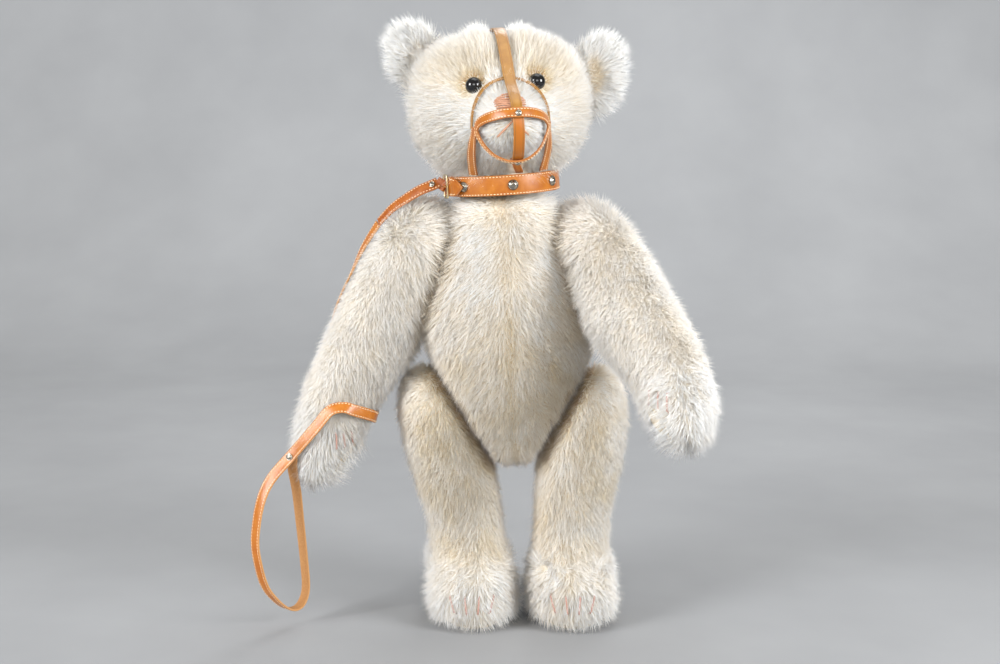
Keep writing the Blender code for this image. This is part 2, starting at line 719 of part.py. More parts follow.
def muzzle(tree):
    """Two nosebands, the straps over the nose and the head, the cheek and chin straps, and two rivets."""
    flat = 4 * gap + strap_thick / 2
    over_band = flat + strap_thick + gap
    over_stitches = 2 * thread_radius + 2 * gap + flat
    over_strap = over_stitches + strap_thick + 4 * gap

    def noseband_lift(point):
        off = abs(point.x - strap_x)
        if off < nose_strap_width / 2 + over_strap_margin:
            return over_strap
        if off < nose_half_width + over_stitches_margin:
            return over_stitches + gap
        return flat

    def head_strap_lift(i):
        return over_band if i < 2 else flat

    def laid_flat(_):
        return flat

    origin = Vector((strap_x, nose_strap_back, nose_strap_centre))
    strap("nose_strap", wrapped(tree, origin, 84, -36, 22, lambda _: over_stitches), nose_strap_width, "tan_leather")
    origin = Vector((strap_x, 0, head_strap_centre))
    path, normals = wrapped(tree, origin, 25, 215, 26, head_strap_lift)
    for y, z, normal_y, normal_z in head_strap_end:
        path.append(Vector((strap_x, y, z)))
        normals.append(Vector((0, normal_y, normal_z)))
    strap("head_strap", (path, normals), head_strap_width, "tan_leather")
    ring = [(strap_x + x, y, z) for x, y, z in noseband_half]
    ring += [(strap_x - x, y, z) for x, y, z in reversed(noseband_half[1:-1])]
    strap("front_noseband", hugging(tree, smooth_run(ring, 40, closed=True), noseband_lift), noseband_width, closed=True)
    arch = rear_band_half + [rear_band_top] + [(-x, y, z) for x, y, z in reversed(rear_band_half)]
    arch = [(strap_x + x, y, z) for x, y, z in arch]
    strap("rear_noseband", hugging(tree, smooth_run(arch, 22), laid_flat), rear_band_width)
    for side, sign in side_sign.items():
        stations = [(sign * x + strap_x / 2, y, z) for x, y, z in cheek_strap_half]
        strap(f"{side}_cheek_strap", hugging(tree, smooth_run(stations, 9), laid_flat), cheek_strap_width)
    stations = smooth_run(chin_strap_stations, 7)
    strap("chin_strap", hugging(tree, stations, lambda _: 1.5 * gap + strap_thick / 2), chin_strap_width)
    for name, end in (("bridge_rivet", noseband_half[0]), ("chin_rivet", noseband_half[-1])):
        hit, normal, _, _ = tree.find_nearest(Vector((strap_x, end[1], end[2])))
        dome(name, rivet_radius, rivet_rise, on_strap(hit, normal, over_strap + strap_thick / 2 + gap))


def round_collar(angle, radius, height):
    """A point and its outward direction at an angle round the collar; -90 degrees looks forward."""
    turn = math.radians(angle)
    out = Vector((math.cos(turn), math.sin(turn), 0))
    return out * radius + Z * height, out


def collar(head_cover):
    """The collar with its pointed tip, its studs, and the buckle in a dent in the plush."""
    top = neck_length - gap
    low, half = top - collar_width, collar_width / 2
    middle_height = top - half
    bore = neck_radius + collar_clearance
    outside = bore + collar_thick
    band = turned([(bore, low), (outside, low), (outside, top), (bore, top)], collar_steps, closed=True)
    band = add("collar_band", band, "leather", neck)
    rings = []
    for along, half_width, rise in tip_stations:
        angle = tip_angle + math.degrees(along / outside)
        point, out = round_collar(angle, outside + rise, middle_height)
        across, up = Z * half_width, out * tip_thick / 2
        rings.append([point + across + up, point - across + up, point - across - up, point + across - up])
    combine(band, helper("collar_tip", loft(rings), neck), "UNION")
    for side, angle in stud_angles.items():
        point, out = round_collar(angle, outside + gap, middle_height)
        dome(f"{side}_stud", stud_radius, stud_rise, upright(point, out), neck)
    centre, out = round_collar(buckle_angle, outside + gap + wire_radius, middle_height)
    along = Z.cross(out)
    tall = half + gap + wire_radius
    corners = []
    for u, v, cut_u, cut_v in ((1, 1, 0, 1), (-1, 1, 1, 0), (-1, -1, 0, 1), (1, -1, 1, 0)):
        for first in (True, False):
            pull_u = buckle_corner * (cut_u if first else 1 - cut_u)
            pull_v = buckle_corner * (cut_v if first else 1 - cut_v)
            corners.append(centre + along * u * (buckle_reach - pull_u) + Z * v * (tall - pull_v))
    frame = ribbon(corners, [out] * len(corners), 2 * wire_radius, 2 * wire_radius, closed=True)
    add("buckle_frame", frame, "brass_wire", neck)
    reach = buckle_reach + wire_radius
    over = out * (wire_radius + gap + prong_radius)
    ends = [centre + over - along * reach, centre + over + along * reach]
    add("buckle_prong", ribbon(ends, [out, out], 2 * prong_radius, 2 * prong_radius), "brass_wire", neck)
    dent = bmesh.new()
    bmesh.ops.create_cube(dent, size=1.0)
    size = 2 * (wire_radius + gap)
    bmesh.ops.scale(dent, vec=(2 * buckle_reach + size, size, size), verts=dent.verts)
    place = Matrix.Translation(centre + Z * tall) @ Matrix.Rotation(math.radians(buckle_angle + 90), 4, "Z")
    combine(head_cover, helper("buckle_dent", dent, neck, place))


def lead():
    """The upper piece runs from the buckle to the shoulder; the lower one on round the wrist to the hand loop."""
    for name, route, stop, radius in (
        ("upper", lead_upper_route, 1, rivet_radius),
        ("lower", lead_lower_route, 17, lead_rivet_radius),
    ):
        run = smooth_run(route, 3 * len(route) - 2)
        rise = Z * (shoulder_height - lead_shoulder_height)
        path = [Vector(values[:3]) + rise for values in run]
        facing = [Vector(values[3:]).normalized() for values in run]
        add(f"lead_{name}", ribbon(path, facing, lead_width, lead_thick), "leather")
        x, y, z, *outward = route[stop]
        place = on_strap(Vector((x, y, z)) + rise, outward, lead_thick / 2 + 3 * gap)
        dome(f"lead_{name}_rivet", radius, rivet_rise, place, None)


def add_neck(head):
    """Joins a stuffed tube with a flat floor to the head's underside."""
    cover, filling = head
    low, inner = gap / 2, neck_radius - wall
    rise = neck_length + neck_blend
    combine(cover, helper("neck_tube", drum(neck_radius, low, rise, collar_steps), neck), "UNION")
    combine(cover, helper("neck_bore", drum(inner, low + wall, rise + wall, collar_steps), neck))
    core = drum(inner - gap, low + wall + gap, rise + wall - gap, collar_steps)
    combine(filling, helper("neck_filling", core, neck), "UNION")


def main():
    torso = stuffed("torso", torso_skin())
    skin = head_skin()
    tree = BVHTree.FromBMesh(skin)
    pressed = skin.copy()
    press(pressed, Z * gap, Z)
    head = stuffed("head", pressed, face)
    add_neck(head)
    joint("neck", neck_place, "neck", torso, head)
    growler(torso[1])
    for side, sign in side_sign.items():
        skin_arm = arm_skin(sign)
        arm = stuffed(f"{side}_arm", skin_arm, arm_frames[side])
        out = shoulder_places[side].to_3x3() @ X * sign
        joint(f"{side}_shoulder", upright(shoulder_places[side].translation, out), "shoulder", torso, arm)
        palm = BVHTree.FromBMesh(skin_arm)
        seat = surface_frame(palm, Vector((0, -paw_pad_forward, -paw_pad_down)), X * sign)
        patch(f"{side}_paw_pad", skin_arm, "felt", seat, paw_pad_size, arm_frames[side])
        leg = stuffed(f"{side}_leg", leg_skin(side, sign), leg_frames[side])
        joint(f"{side}_hip", upright(hip_places[side], hip_normals[side]), "hip", torso, leg)
        pad = drum(1.0, 0.0, sole_pad_thick)
        bmesh.ops.scale(pad, vec=(sole_pad_half_width, sole_pad_half_length, 1.0), verts=pad.verts)
        at = Matrix.Translation((middle(0) + sign * leg_stations[-1][1], feet_y + leg_stations[-1][4], 0))
        add(f"{side}_sole_pad", pad, "felt", None, at)
        ear(side, pressed)
        eye(side, sign, tree, head)
    nose_and_mouth(skin, tree)
    muzzle(tree)
    collar(head[0])
    lead()


main()
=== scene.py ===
import json
import math

import bmesh
import bpy
import numpy as np
from mathutils import Matrix, Vector, noise
from mathutils.bvhtree import BVHTree

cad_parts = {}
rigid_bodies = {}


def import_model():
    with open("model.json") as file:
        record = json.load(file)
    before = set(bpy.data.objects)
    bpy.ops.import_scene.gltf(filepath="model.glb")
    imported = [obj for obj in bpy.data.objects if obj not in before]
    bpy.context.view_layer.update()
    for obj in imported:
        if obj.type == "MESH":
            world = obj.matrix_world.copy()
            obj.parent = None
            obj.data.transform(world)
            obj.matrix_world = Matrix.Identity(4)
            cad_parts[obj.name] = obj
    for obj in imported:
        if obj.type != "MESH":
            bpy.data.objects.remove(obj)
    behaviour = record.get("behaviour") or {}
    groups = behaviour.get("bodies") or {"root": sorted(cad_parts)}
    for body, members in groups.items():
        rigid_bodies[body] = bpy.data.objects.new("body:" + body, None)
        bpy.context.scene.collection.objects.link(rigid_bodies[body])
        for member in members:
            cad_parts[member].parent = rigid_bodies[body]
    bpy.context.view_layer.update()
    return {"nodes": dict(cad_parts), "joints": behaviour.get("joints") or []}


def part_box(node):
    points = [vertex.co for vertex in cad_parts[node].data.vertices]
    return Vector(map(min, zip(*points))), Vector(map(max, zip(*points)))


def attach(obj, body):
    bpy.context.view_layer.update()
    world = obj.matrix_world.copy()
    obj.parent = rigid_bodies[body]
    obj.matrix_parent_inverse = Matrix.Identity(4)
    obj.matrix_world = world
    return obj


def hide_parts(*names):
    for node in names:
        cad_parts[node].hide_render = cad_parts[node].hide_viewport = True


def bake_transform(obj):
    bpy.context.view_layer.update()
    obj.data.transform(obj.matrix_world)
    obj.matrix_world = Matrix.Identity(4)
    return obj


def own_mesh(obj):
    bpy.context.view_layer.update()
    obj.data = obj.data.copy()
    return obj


for startObject in list(bpy.data.objects):
    bpy.data.objects.remove(startObject, do_unlink=True)
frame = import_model()
cadNodes = frame["nodes"]
scene = bpy.context.scene
scene.view_settings.view_transform = "Standard"
noise.seed_set(7)  # otherwise each run combs the plush another way
print("scene: frame loaded")


def linked(name, data):
    made = bpy.data.objects.new(name, data)
    scene.collection.objects.link(made)
    return made


# Camera, at the height of the head and looking a little down

cameraSetup = {
    "place": (0.004, -1.471, 0.5458),
    "down": 9.4,
    "lens": 55.44,
    "sensor": 36.0,
}


def makeCamera(setup):
    data = bpy.data.cameras.new("camera")
    data.lens, data.sensor_width = setup["lens"], setup["sensor"]
    camera = scene.camera = linked("camera", data)
    camera.location = setup["place"]
    camera.rotation_euler = (math.radians(90 - setup["down"]), 0, 0)


makeCamera(cameraSetup)


# Materials

def srgb(code):
    linear = []
    for i in (1, 3, 5):
        c = int(code[i:i + 2], 16) / 255
        linear.append(c / 12.92 if c <= 0.04045 else ((c + 0.055) / 1.055) ** 2.4)
    return (*linear, 1.0)


def setNode(tree, node, settings):
    # a socket is linked, and any other value goes on the input or the setting of that name
    for key, value in settings.items():
        if isinstance(value, bpy.types.NodeSocket):
            tree.links.new(value, node.inputs[key])
        elif isinstance(key, int) or key in node.inputs:
            node.inputs[key].default_value = value
        else:
            setattr(node, key, value)


def addNode(tree, kind, settings=None, stops=()):
    made = tree.nodes.new(kind)
    setNode(tree, made, settings or {})
    for i, (at, code) in enumerate(stops):
        elements = made.color_ramp.elements
        element = elements[i] if i < len(elements) else elements.new(at)
        element.position, element.color = at, srgb(code)
    return made


def startMaterial(name, settings):
    made = bpy.data.materials.new(name)
    made.use_nodes = True
    shader = made.node_tree.nodes["Principled BSDF"]
    setNode(made.node_tree, shader, settings)
    return made, made.node_tree, shader


def objectNoise(tree, millimetres, detail=3.0, roughness=0.55, stretch=None):
    # a noise whose patches are about that wide
    place = addNode(tree, "ShaderNodeTexCoord").outputs["Object"]
    if stretch:
        place = addNode(tree, "ShaderNodeMapping", {"Scale": stretch, "Vector": place}).outputs["Vector"]
    settings = {"Scale": 1000 / millimetres, "Detail": detail, "Roughness": roughness, "Vector": place}
    return addNode(tree, "ShaderNodeTexNoise", settings).outputs["Fac"]


# Vegetable-tanned strap leather: dyed and glazed on the grain side, pale where it is cut, rough on the flesh side

leatherFinishes = {
    "orange": {"deep": "#994A12", "face": "#B0671D", "light": "#CD8636", "cut": "#B06C30", "flesh": "#AD7240"},
    "tan": {"deep": "#85571F", "face": "#9E702E", "light": "#B08440", "cut": "#A4773B", "flesh": "#A37A47"},
    "lead": {"deep": "#994A12", "face": "#B3691F", "light": "#C47F34", "cut": "#C4935E", "flesh": "#B27B49"},
    # the lead leather made darker for the length by the buckle: painted shade
    "upperLead": {"deep": "#8A3D0E", "face": "#A5591B", "light": "#BC6E28", "cut": "#B27442", "flesh": "#A0673A"},
}
# mm: the clouds of the dye, the creases, the pores and the nap, the last two coarser than real so that they show
leatherSizes = {"clouds": 9.0, "creases": 5.0, "pores": 0.9, "nap": 1.6}
noseFade = {"low": 0.512, "high": 0.520}  # m above the floor, where the worn top of the nose strap ends
strapMarks = ("groove", "edge", "flesh")  # attributes of every strap, from 0 to 1


def makeLeather(kind, colours, below=None):
    made, tree, shader = startMaterial(f"glazedLeather_{kind}", {"Specular IOR Level": 0.5, "IOR": 1.5})
    place = addNode(tree, "ShaderNodeTexCoord").outputs["Object"]
    groove, edge, flesh = (
        addNode(tree, "ShaderNodeAttribute", {"attribute_name": mark}).outputs["Fac"] for mark in strapMarks
    )
    clouds = addNode(tree, "ShaderNodeValToRGB", {"Fac": objectNoise(tree, leatherSizes["clouds"])}, [
        (0.25, colours["deep"]),
        (0.48, colours["face"]),
        (0.75, colours["light"]),
    ])
    nap = addNode(tree, "ShaderNodeValToRGB", {"Fac": objectNoise(tree, leatherSizes["nap"], 5.0)}, [
        (0.3, colours["flesh"]),
        (0.7, colours["cut"]),
    ])
    layers = [
        (0.55, clouds.outputs["Color"]),
        (groove, srgb(colours["deep"])),
        (edge, srgb(colours["cut"])),
        (flesh, nap.outputs["Color"]),
    ]
    if below:
        height = addNode(tree, "ShaderNodeSeparateXYZ", {"Vector": place}).outputs["Z"]
        fade = {"From Min": noseFade["high"], "From Max": noseFade["low"], "Value": height}
        layers.insert(1, (addNode(tree, "ShaderNodeMapRange", fade).outputs["Result"], srgb(below["face"])))
    colour = srgb(colours["face"])
    for share, over in layers:
        colour = addNode(tree, "ShaderNodeMix", {"data_type": "RGBA", 0: share, 6: colour, 7: over}).outputs[2]
    rough = addNode(tree, "ShaderNodeMapRange", {"To Min": 0.30, "To Max": 0.85, "Value": flesh})
    pores = addNode(tree, "ShaderNodeTexVoronoi", {"Scale": 1000 / leatherSizes["pores"], "Vector": place})
    creases = objectNoise(tree, leatherSizes["creases"], 4.0, 0.6, (1.0, 1.0, 0.25))
    relief = addNode(tree, "ShaderNodeMath", {
        "operation": "MULTIPLY_ADD", 0: pores.outputs["Distance"], 1: 0.25, 2: creases,
    })
    bump = addNode(tree, "ShaderNodeBump", {
        "Distance": 0.0006, "Strength": 0.45, "Height": relief.outputs["Value"],
    })
    setNode(tree, shader, {
        "Base Color": colour, "Roughness": rough.outputs["Result"], "Normal": bump.outputs["Normal"],
    })
    return made


leathers = {kind: makeLeather(kind, colours) for kind, colours in leatherFinishes.items()}
leathers["worn"] = makeLeather("worn", leatherFinishes["tan"], leatherFinishes["orange"])


# Mohair: long glossy goat hair woven into a cotton backing, pale at the tips; its deeper tone at the roots is
# painted shade deep in the pile. Root to tip runs along U and the tone of a lock along V

mohairSetup = {
    # the root's deeper tone is painted shade deep in the pile
    "root": "#E6D1AE",
    "middle": "#F8EFE0",
    "tip": "#FFFEFB",
    # brown for the lowest tone: painted shade in creases and ear hollows, and the darkest random patches
    "hollow": "#A27C4C",
    "warm": "#E9D4B3",
    "cream": "#FBF0E0",
    "white": "#FFFFFE",
    "backing": "#E9DCC3",
}


def makeMohair(setup):
    made, tree, shader = startMaterial("mohairPile", {
        "Roughness": 0.6,
        "Specular IOR Level": 0.25,
        "Sheen Weight": 0.6,
        "Sheen Roughness": 0.4,
        "Subsurface Weight": 0.6,
        "Subsurface Radius": (1.0, 0.85, 0.7),
        "Subsurface Scale": 0.002,
    })
    place = addNode(tree, "ShaderNodeUVMap", {"uv_map": "OFBake"}).outputs["UV"]
    split = addNode(tree, "ShaderNodeSeparateXYZ", {"Vector": place}).outputs
    along = addNode(tree, "ShaderNodeValToRGB", {"Fac": split["X"]}, [
        (0.0, setup["root"]),
        (0.30, setup["middle"]),
        (0.8, setup["tip"]),
    ])
    # its brown low end is painted shade where creases and ear hollows pull the tone down, and the darkest random
    # patches
    tint = addNode(tree, "ShaderNodeValToRGB", {"Fac": split["Y"]}, [
        (0.0, setup["hollow"]),
        (0.25, setup["warm"]),
        (0.55, setup["cream"]),
        (0.9, setup["white"]),
    ])
    both = addNode(tree, "ShaderNodeMix", {
        "data_type": "RGBA", "blend_type": "MULTIPLY", 0: 1.0, 6: along.outputs["Color"], 7: tint.outputs["Color"],
    })
    setNode(tree, shader, {"Base Color": both.outputs[2]})
    return made


def makePlain(name, setup):
    made, tree, shader = startMaterial(name, setup["values"])
    pattern = objectNoise(tree, setup["grain"], 4.0)
    low, high = setup["tones"]
    tint = addNode(tree, "ShaderNodeValToRGB", {"Fac": pattern}, [(0.3, low), (0.7, high)])
    setNode(tree, shader, {"Base Color": tint.outputs["Color"]})
    if setup["depth"]:
        height = objectNoise(tree, setup["weave"], 2.0) if "weave" in setup else pattern
        bump = addNode(tree, "ShaderNodeBump", {
            "Distance": setup["depth"], "Strength": setup.get("strength", 0.5), "Height": height,
        })
        setNode(tree, shader, {"Normal": bump.outputs["Normal"]})
    return made


# Plain finishes: two tones, the size of the pattern in mm, how deep it is in m and what the shader is given

plainFinishes = {
    "mohairBacking": {  # woven cotton ground: matt, its weave drawn coarse enough to show between the hairs
        "tones": (mohairSetup["backing"], mohairSetup["middle"]), "grain": 6.0, "depth": 0.001,
        "weave": 1.2, "strength": 0.6, "values": {"Roughness": 0.95, "Specular IOR Level": 0.1},
    },
    "sewingThread": {  # waxed linen thread: pale and a little slubby
        "tones": ("#F1D2A2", "#FAE6C6"), "grain": 0.5, "depth": 0.0002, "values": {"Roughness": 0.7},
    },
    "noseThread": {  # faded embroidery cotton: soft, with a slight shine on its turns
        "tones": ("#B0775A", "#D0A284"), "grain": 0.7, "depth": 0.0003, "values": {"Roughness": 0.6},
    },
    "clawThread": {  # the same cotton, duller where the pile has rubbed it
        "tones": ("#A4766A", "#C69F90"), "grain": 0.7, "depth": 0.0003, "values": {"Roughness": 0.7},
    },
    "woolFelt": {  # pressed wool: quite matt, cloudy and slightly hairy
        "tones": ("#B9A582", "#DCCDB0"), "grain": 2.2, "depth": 0.0008, "values": {"Roughness": 0.95},
    },
    "nickelPlate": {  # nickel on pressed brass: warm grey, gone a little dull
        "tones": ("#938D82", "#ADA79C"), "grain": 2.5, "depth": 0.0001,
        "values": {"Metallic": 1.0, "Roughness": 0.24},
    },
    "brassWire": {  # drawn brass: pale yellow with a soft shine
        "tones": ("#D9C68F", "#EFE2BC"), "grain": 2.5, "depth": 0.0001,
        "values": {"Metallic": 1.0, "Roughness": 0.28},
    },
    "blackGlass": {  # blown and fire-polished: black with sharp highlights
        "tones": ("#050507", "#0A0A0D"), "grain": 4.0, "depth": 0.0,
        "values": {"Roughness": 0.03, "IOR": 1.52, "Specular IOR Level": 0.6},
    },
    "pressedBoard": {  # hardboard discs: brown and fibrous
        "tones": ("#6B4C30", "#86623F"), "grain": 1.5, "depth": 0.0004, "values": {"Roughness": 0.9},
    },
    "rolledCard": {  # grey-brown strawboard, wound and glued
        "tones": ("#8E7757", "#A88F6B"), "grain": 2.0, "depth": 0.0003, "values": {"Roughness": 0.9},
    },
    "drawnSteel": {  # cotter pins: bright grey with fine draw marks
        "tones": ("#8A8B8D", "#A5A6A8"), "grain": 1.5, "depth": 0.0001,
        "values": {"Metallic": 1.0, "Roughness": 0.35},
    },
    "castIron": {  # sand-cast weight: dark and grainy
        "tones": ("#2E2E30", "#454548"), "grain": 1.2, "depth": 0.0005,
        "values": {"Metallic": 0.8, "Roughness": 0.6},
    },
    "sheepskin": {  # thin tawed skin: soft, with a slight sheen on its folds
        "tones": ("#A88C63", "#C4A87C"), "grain": 2.2, "depth": 0.0004, "values": {"Roughness": 0.7},
    },
    "studioPaper": {  # wide roll of pale grey paper: even and matt
        "tones": ("#8F9194", "#999B9E"), "grain": 330.0, "depth": 0.0, "values": {"Roughness": 0.95},
    },
}
mohairPile = makeMohair(mohairSetup)
finishes = {name: makePlain(name, setup) for name, setup in plainFinishes.items()}
hiddenFinishes = {
    "_disc": "pressedBoard",
    "_pin": "drawnSteel",
    "growler_case": "rolledCard",
    "growler_reed_board": "rolledCard",
    "growler_weight": "castIron",
    "_sole_pad": "woolFelt",
}
for node, cadObject in cadNodes.items():
    for ending, finish in hiddenFinishes.items():
        if node.endswith(ending):
            cadObject.data.materials.clear()
            cadObject.data.materials.append(finishes[finish])
print("scene: materials made")


# Tools for meshes

axisX, axisY, axisZ = Vector((1, 0, 0)), Vector((0, 1, 0)), Vector((0, 0, 1))
sides = ("right", "left")


def addPiece(name, bm, finish, smoothAngle=40):
    mesh = bpy.data.meshes.new(name)
    bm.to_mesh(mesh)
    bm.free()
    mesh.materials.append(finish)
    mesh.shade_smooth()
    mesh.set_sharp_from_angle(angle=math.radians(smoothAngle))
    return linked(name, mesh)


def settle(piece, body, slotName, *nodes):
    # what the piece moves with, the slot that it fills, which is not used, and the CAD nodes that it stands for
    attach(piece, body)
    if nodes:
        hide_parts(*nodes)


def mergedCopy(node):
    bm = bmesh.new()
    bm.from_mesh(cadNodes[node].data)
    bmesh.ops.remove_doubles(bm, verts=bm.verts, dist=2e-5)
    return bm


def treeOf(node):
    bm = mergedCopy(node)
    tree = BVHTree.FromBMesh(bm)
    bm.free()
    return tree


def smoothRun(stations, count):
    # a smooth line through the stations
    last = len(stations) - 1
    run = []
    for k in range(count):
        at = last * k / (count - 1)
        i = min(int(at), last - 1)
        t = at - i
        a, b, c, d = (stations[max(0, min(last, j))] for j in (i - 1, i, i + 1, i + 2))
        run.append(
            ((b * 2) + (c - a) * t + (a * 2 - b * 5 + c * 4 - d) * t ** 2 + (b * 3 - a - c * 3 + d) * t ** 3) * 0.5
        )
    return run


# Straps: a profile with rounded edges and a stitching groove, extruded along a line

strapEdge, strapGroove = 0.0005, 0.0016  # m, the rounding and how far in the stitches run


def strapProfile(width, thick):
    # points (across, up) with what each is: groove, edge, flesh
    a, b = width / 2, thick / 2
    half = [
        (a - strapGroove - 0.0007, b, 0, 0, 0),
        (a - strapGroove, b - 0.00012, 1, 0, 0),
        (a - strapGroove + 0.0006, b, 0, 0, 0),
        (a - strapEdge, b * 0.97, 0, 0.1, 0),
        (a - strapEdge * 0.2, b * 0.6, 0, 0.9, 0),
        (a, 0.0, 0, 1, 0),
        (a - strapEdge * 0.2, -b * 0.6, 0, 0.9, 0.5),
        (a - strapEdge, -b, 0, 0, 1),
    ]
    left = [(-u, v, groove, edge, flesh) for u, v, groove, edge, flesh in half]
    middleTop, middleLow = (0, b * 1.03, 0, 0, 0), (0, -b, 0, 0, 1)
    return [middleTop] + half + [middleLow] + left[::-1]


def skinRings(bm, rings, closed=False, layers=()):
    # rings of (place, *marks), each extruded from the last, then capped or joined end to end
    ring = first = None
    for stops in rings:
        if ring is None:
            ring = first = [bm.verts.new() for _ in stops]
            for i in range(len(ring)):
                bm.edges.new((ring[i - 1], ring[i]))
        else:
            edges = [bm.edges.get((ring[i - 1], ring[i])) for i in range(len(ring))]
            grown = bmesh.ops.extrude_edge_only(bm, edges=edges)["geom"]
            fresh = {v for v in grown if isinstance(v, bmesh.types.BMVert)}
            ring = [next(e.other_vert(v) for e in v.link_edges if e.other_vert(v) in fresh) for v in ring]
        for vert, (place, *marks) in zip(ring, stops):
            vert.co = place
            for layer, mark in zip(layers, marks):
                vert[layer] = mark
    if closed:
        edges = [bm.edges.get((loop[i - 1], loop[i])) for loop in (first, ring) for i in range(len(loop))]
        bmesh.ops.bridge_loops(bm, edges=edges)
    else:
        for loop in (first, ring):
            bmesh.ops.contextual_create(bm, geom=loop)


def sweepStrap(name, line, thick, finish, closed=False):
    # line is a list of (point, side, normal, width)
    bm = bmesh.new()
    layers = [bm.verts.layers.float.new(mark) for mark in strapMarks]
    rings = [
        [(point + side * across + normal * up, *marks) for across, up, *marks in strapProfile(width, thick)]
        for point, side, normal, width in line
    ]
    skinRings(bm, rings, closed, layers)
    bmesh.ops.recalc_face_normals(bm, faces=bm.faces)
    return addPiece(name, bm, finish, 50)


stitchSetup = {"pitch": 0.0032, "length": 0.0022, "width": 0.0010, "height": 0.0008}


def makeBead():
    bm = bmesh.new()
    bmesh.ops.create_uvsphere(bm, u_segments=6, v_segments=4, radius=1.0)
    bead = bpy.data.meshes.new("bead")
    bm.to_mesh(bead)
    bm.free()
    return bead


stitchBead = makeBead()


def addStitches(bm, line, thick, inward=strapGroove, closed=False):
    # a row of stitches along both edges of a strap
    run = line + [line[0]] if closed else line
    for sign in (-1, 1):
        row = [(p + s * sign * (w / 2 - inward) + n * thick / 2, n) for p, s, n, w in run]
        spare = stitchSetup["pitch"] / 2
        for (start, startNormal), (end, endNormal) in zip(row, row[1:]):
            reach = (end - start).length
            while spare < reach:
                at = start.lerp(end, spare / reach)
                up = startNormal.lerp(endNormal, spare / reach).normalized()
                along = (end - start).normalized()
                turn = Matrix((along, up.cross(along).normalized(), up)).transposed().to_4x4()
                size = (stitchSetup["length"] / 2, stitchSetup["width"] / 2, stitchSetup["height"] / 2)
                place = Matrix.Translation(at) @ turn @ Matrix.Diagonal((*size, 1.0))
                bead = stitchBead.copy()
                bead.transform(place)
                bm.from_mesh(bead)
                bpy.data.meshes.remove(bead)
                spare += stitchSetup["pitch"]
            spare -= reach


def lineOf(points, normals, width):
    # points with their sides and normals squared up along the way
    last = len(points) - 1
    line = []
    for i, (point, normal) in enumerate(zip(points, normals)):
        along = points[min(i + 1, last)] - points[max(i - 1, 0)]
        side = along.cross(normal).normalized()
        line.append((point, side, side.cross(along).normalized(), width))
    return line


# Lead: one flat strap in two lengths, from the buckle over the shoulder, round the wrist and into a hand loop

leadSetup = {
    # the upper length takes the darker copy of the leather, painted shade
    "leather": {"upper": "upperLead", "lower": "lead"},
    "bend": {"upper": 1.0, "lower": 0.25},  # the share of each length that would bend with its joint; nothing reads it
    "width": 0.0115,
    "thick": 0.0020,
    "upper": [
        (-0.0565, 0.0417, 0.4440, -0.35, -0.85, 0.35),
        (-0.0620, 0.0405, 0.4415, -0.30, -0.85, 0.40),
        (-0.0740, 0.0415, 0.4365, -0.30, -0.82, 0.48),
        (-0.0875, 0.0445, 0.4285, -0.38, -0.75, 0.54),
        (-0.1025, 0.0485, 0.4180, -0.50, -0.62, 0.60),
        (-0.1160, 0.0530, 0.4037, -0.66, -0.52, 0.54),
    ],
    "lower": [
        (-0.1168, 0.0533, 0.4026, -0.66, -0.52, 0.54),
        (-0.1320, 0.0565, 0.3790, -0.85, -0.35, 0.40),
        (-0.1430, 0.0585, 0.3560, -0.93, -0.10, 0.35),
        (-0.1535, 0.0625, 0.3330, -0.93, 0.15, 0.30),
        (-0.1615, 0.0705, 0.3100, -0.85, 0.45, 0.25),
        (-0.1645, 0.0810, 0.2870, -0.70, 0.68, 0.20),
        (-0.1610, 0.0895, 0.2650, -0.35, 0.93, 0.10),
        (-0.1480, 0.0895, 0.2440, 0.00, 1.00, 0.00),
        (-0.1315, 0.0805, 0.2250, 0.45, 0.88, -0.15),
        (-0.1240, 0.0625, 0.2120, 0.75, 0.60, -0.25),
        (-0.1200, 0.0405, 0.2090, 0.95, 0.10, -0.30),
        (-0.1225, 0.0145, 0.2165, 0.80, -0.60, -0.10),
        (-0.1385, -0.0015, 0.2250, 0.35, -0.88, 0.25),
        (-0.1480, -0.0049, 0.2285, 0.10, -0.80, 0.60),
        (-0.1615, -0.0050, 0.2255, -0.10, -0.85, 0.50),
        (-0.1740, -0.0045, 0.2110, -0.30, -0.88, 0.35),
        (-0.1875, -0.0025, 0.1950, -0.40, -0.88, 0.25),
        (-0.2020, 0.0005, 0.1780, -0.40, -0.90, 0.20),
        (-0.2215, -0.0035, 0.1555, -0.50, -0.85, 0.15),
        (-0.2315, -0.0085, 0.1320, -0.60, -0.80, 0.05),
        (-0.2365, -0.0125, 0.0975, -0.65, -0.76, 0.00),
        (-0.2340, -0.0125, 0.0720, -0.60, -0.76, -0.20),
        (-0.2280, -0.0075, 0.0465, -0.52, -0.70, -0.40),
        (-0.2160, 0.0025, 0.0265, -0.30, -0.45, -0.80),
        (-0.2055, 0.0125, 0.0175, 0.05, 0.05, -1.00),
        (-0.1975, 0.0225, 0.0195, 0.45, 0.50, -0.70),
        (-0.1930, 0.0285, 0.0340, 0.65, 0.70, -0.30),
        (-0.1945, 0.0305, 0.0630, 0.65, 0.76, 0.00),
        (-0.1975, 0.0275, 0.1055, 0.60, 0.80, 0.10),
        (-0.1990, 0.0185, 0.1390, 0.50, 0.85, 0.15),
        (-0.2010, 0.0085, 0.1640, 0.40, 0.90, 0.00),
        (-0.2000, 0.0037, 0.1790, 0.40, 0.90, -0.20),
    ],
}


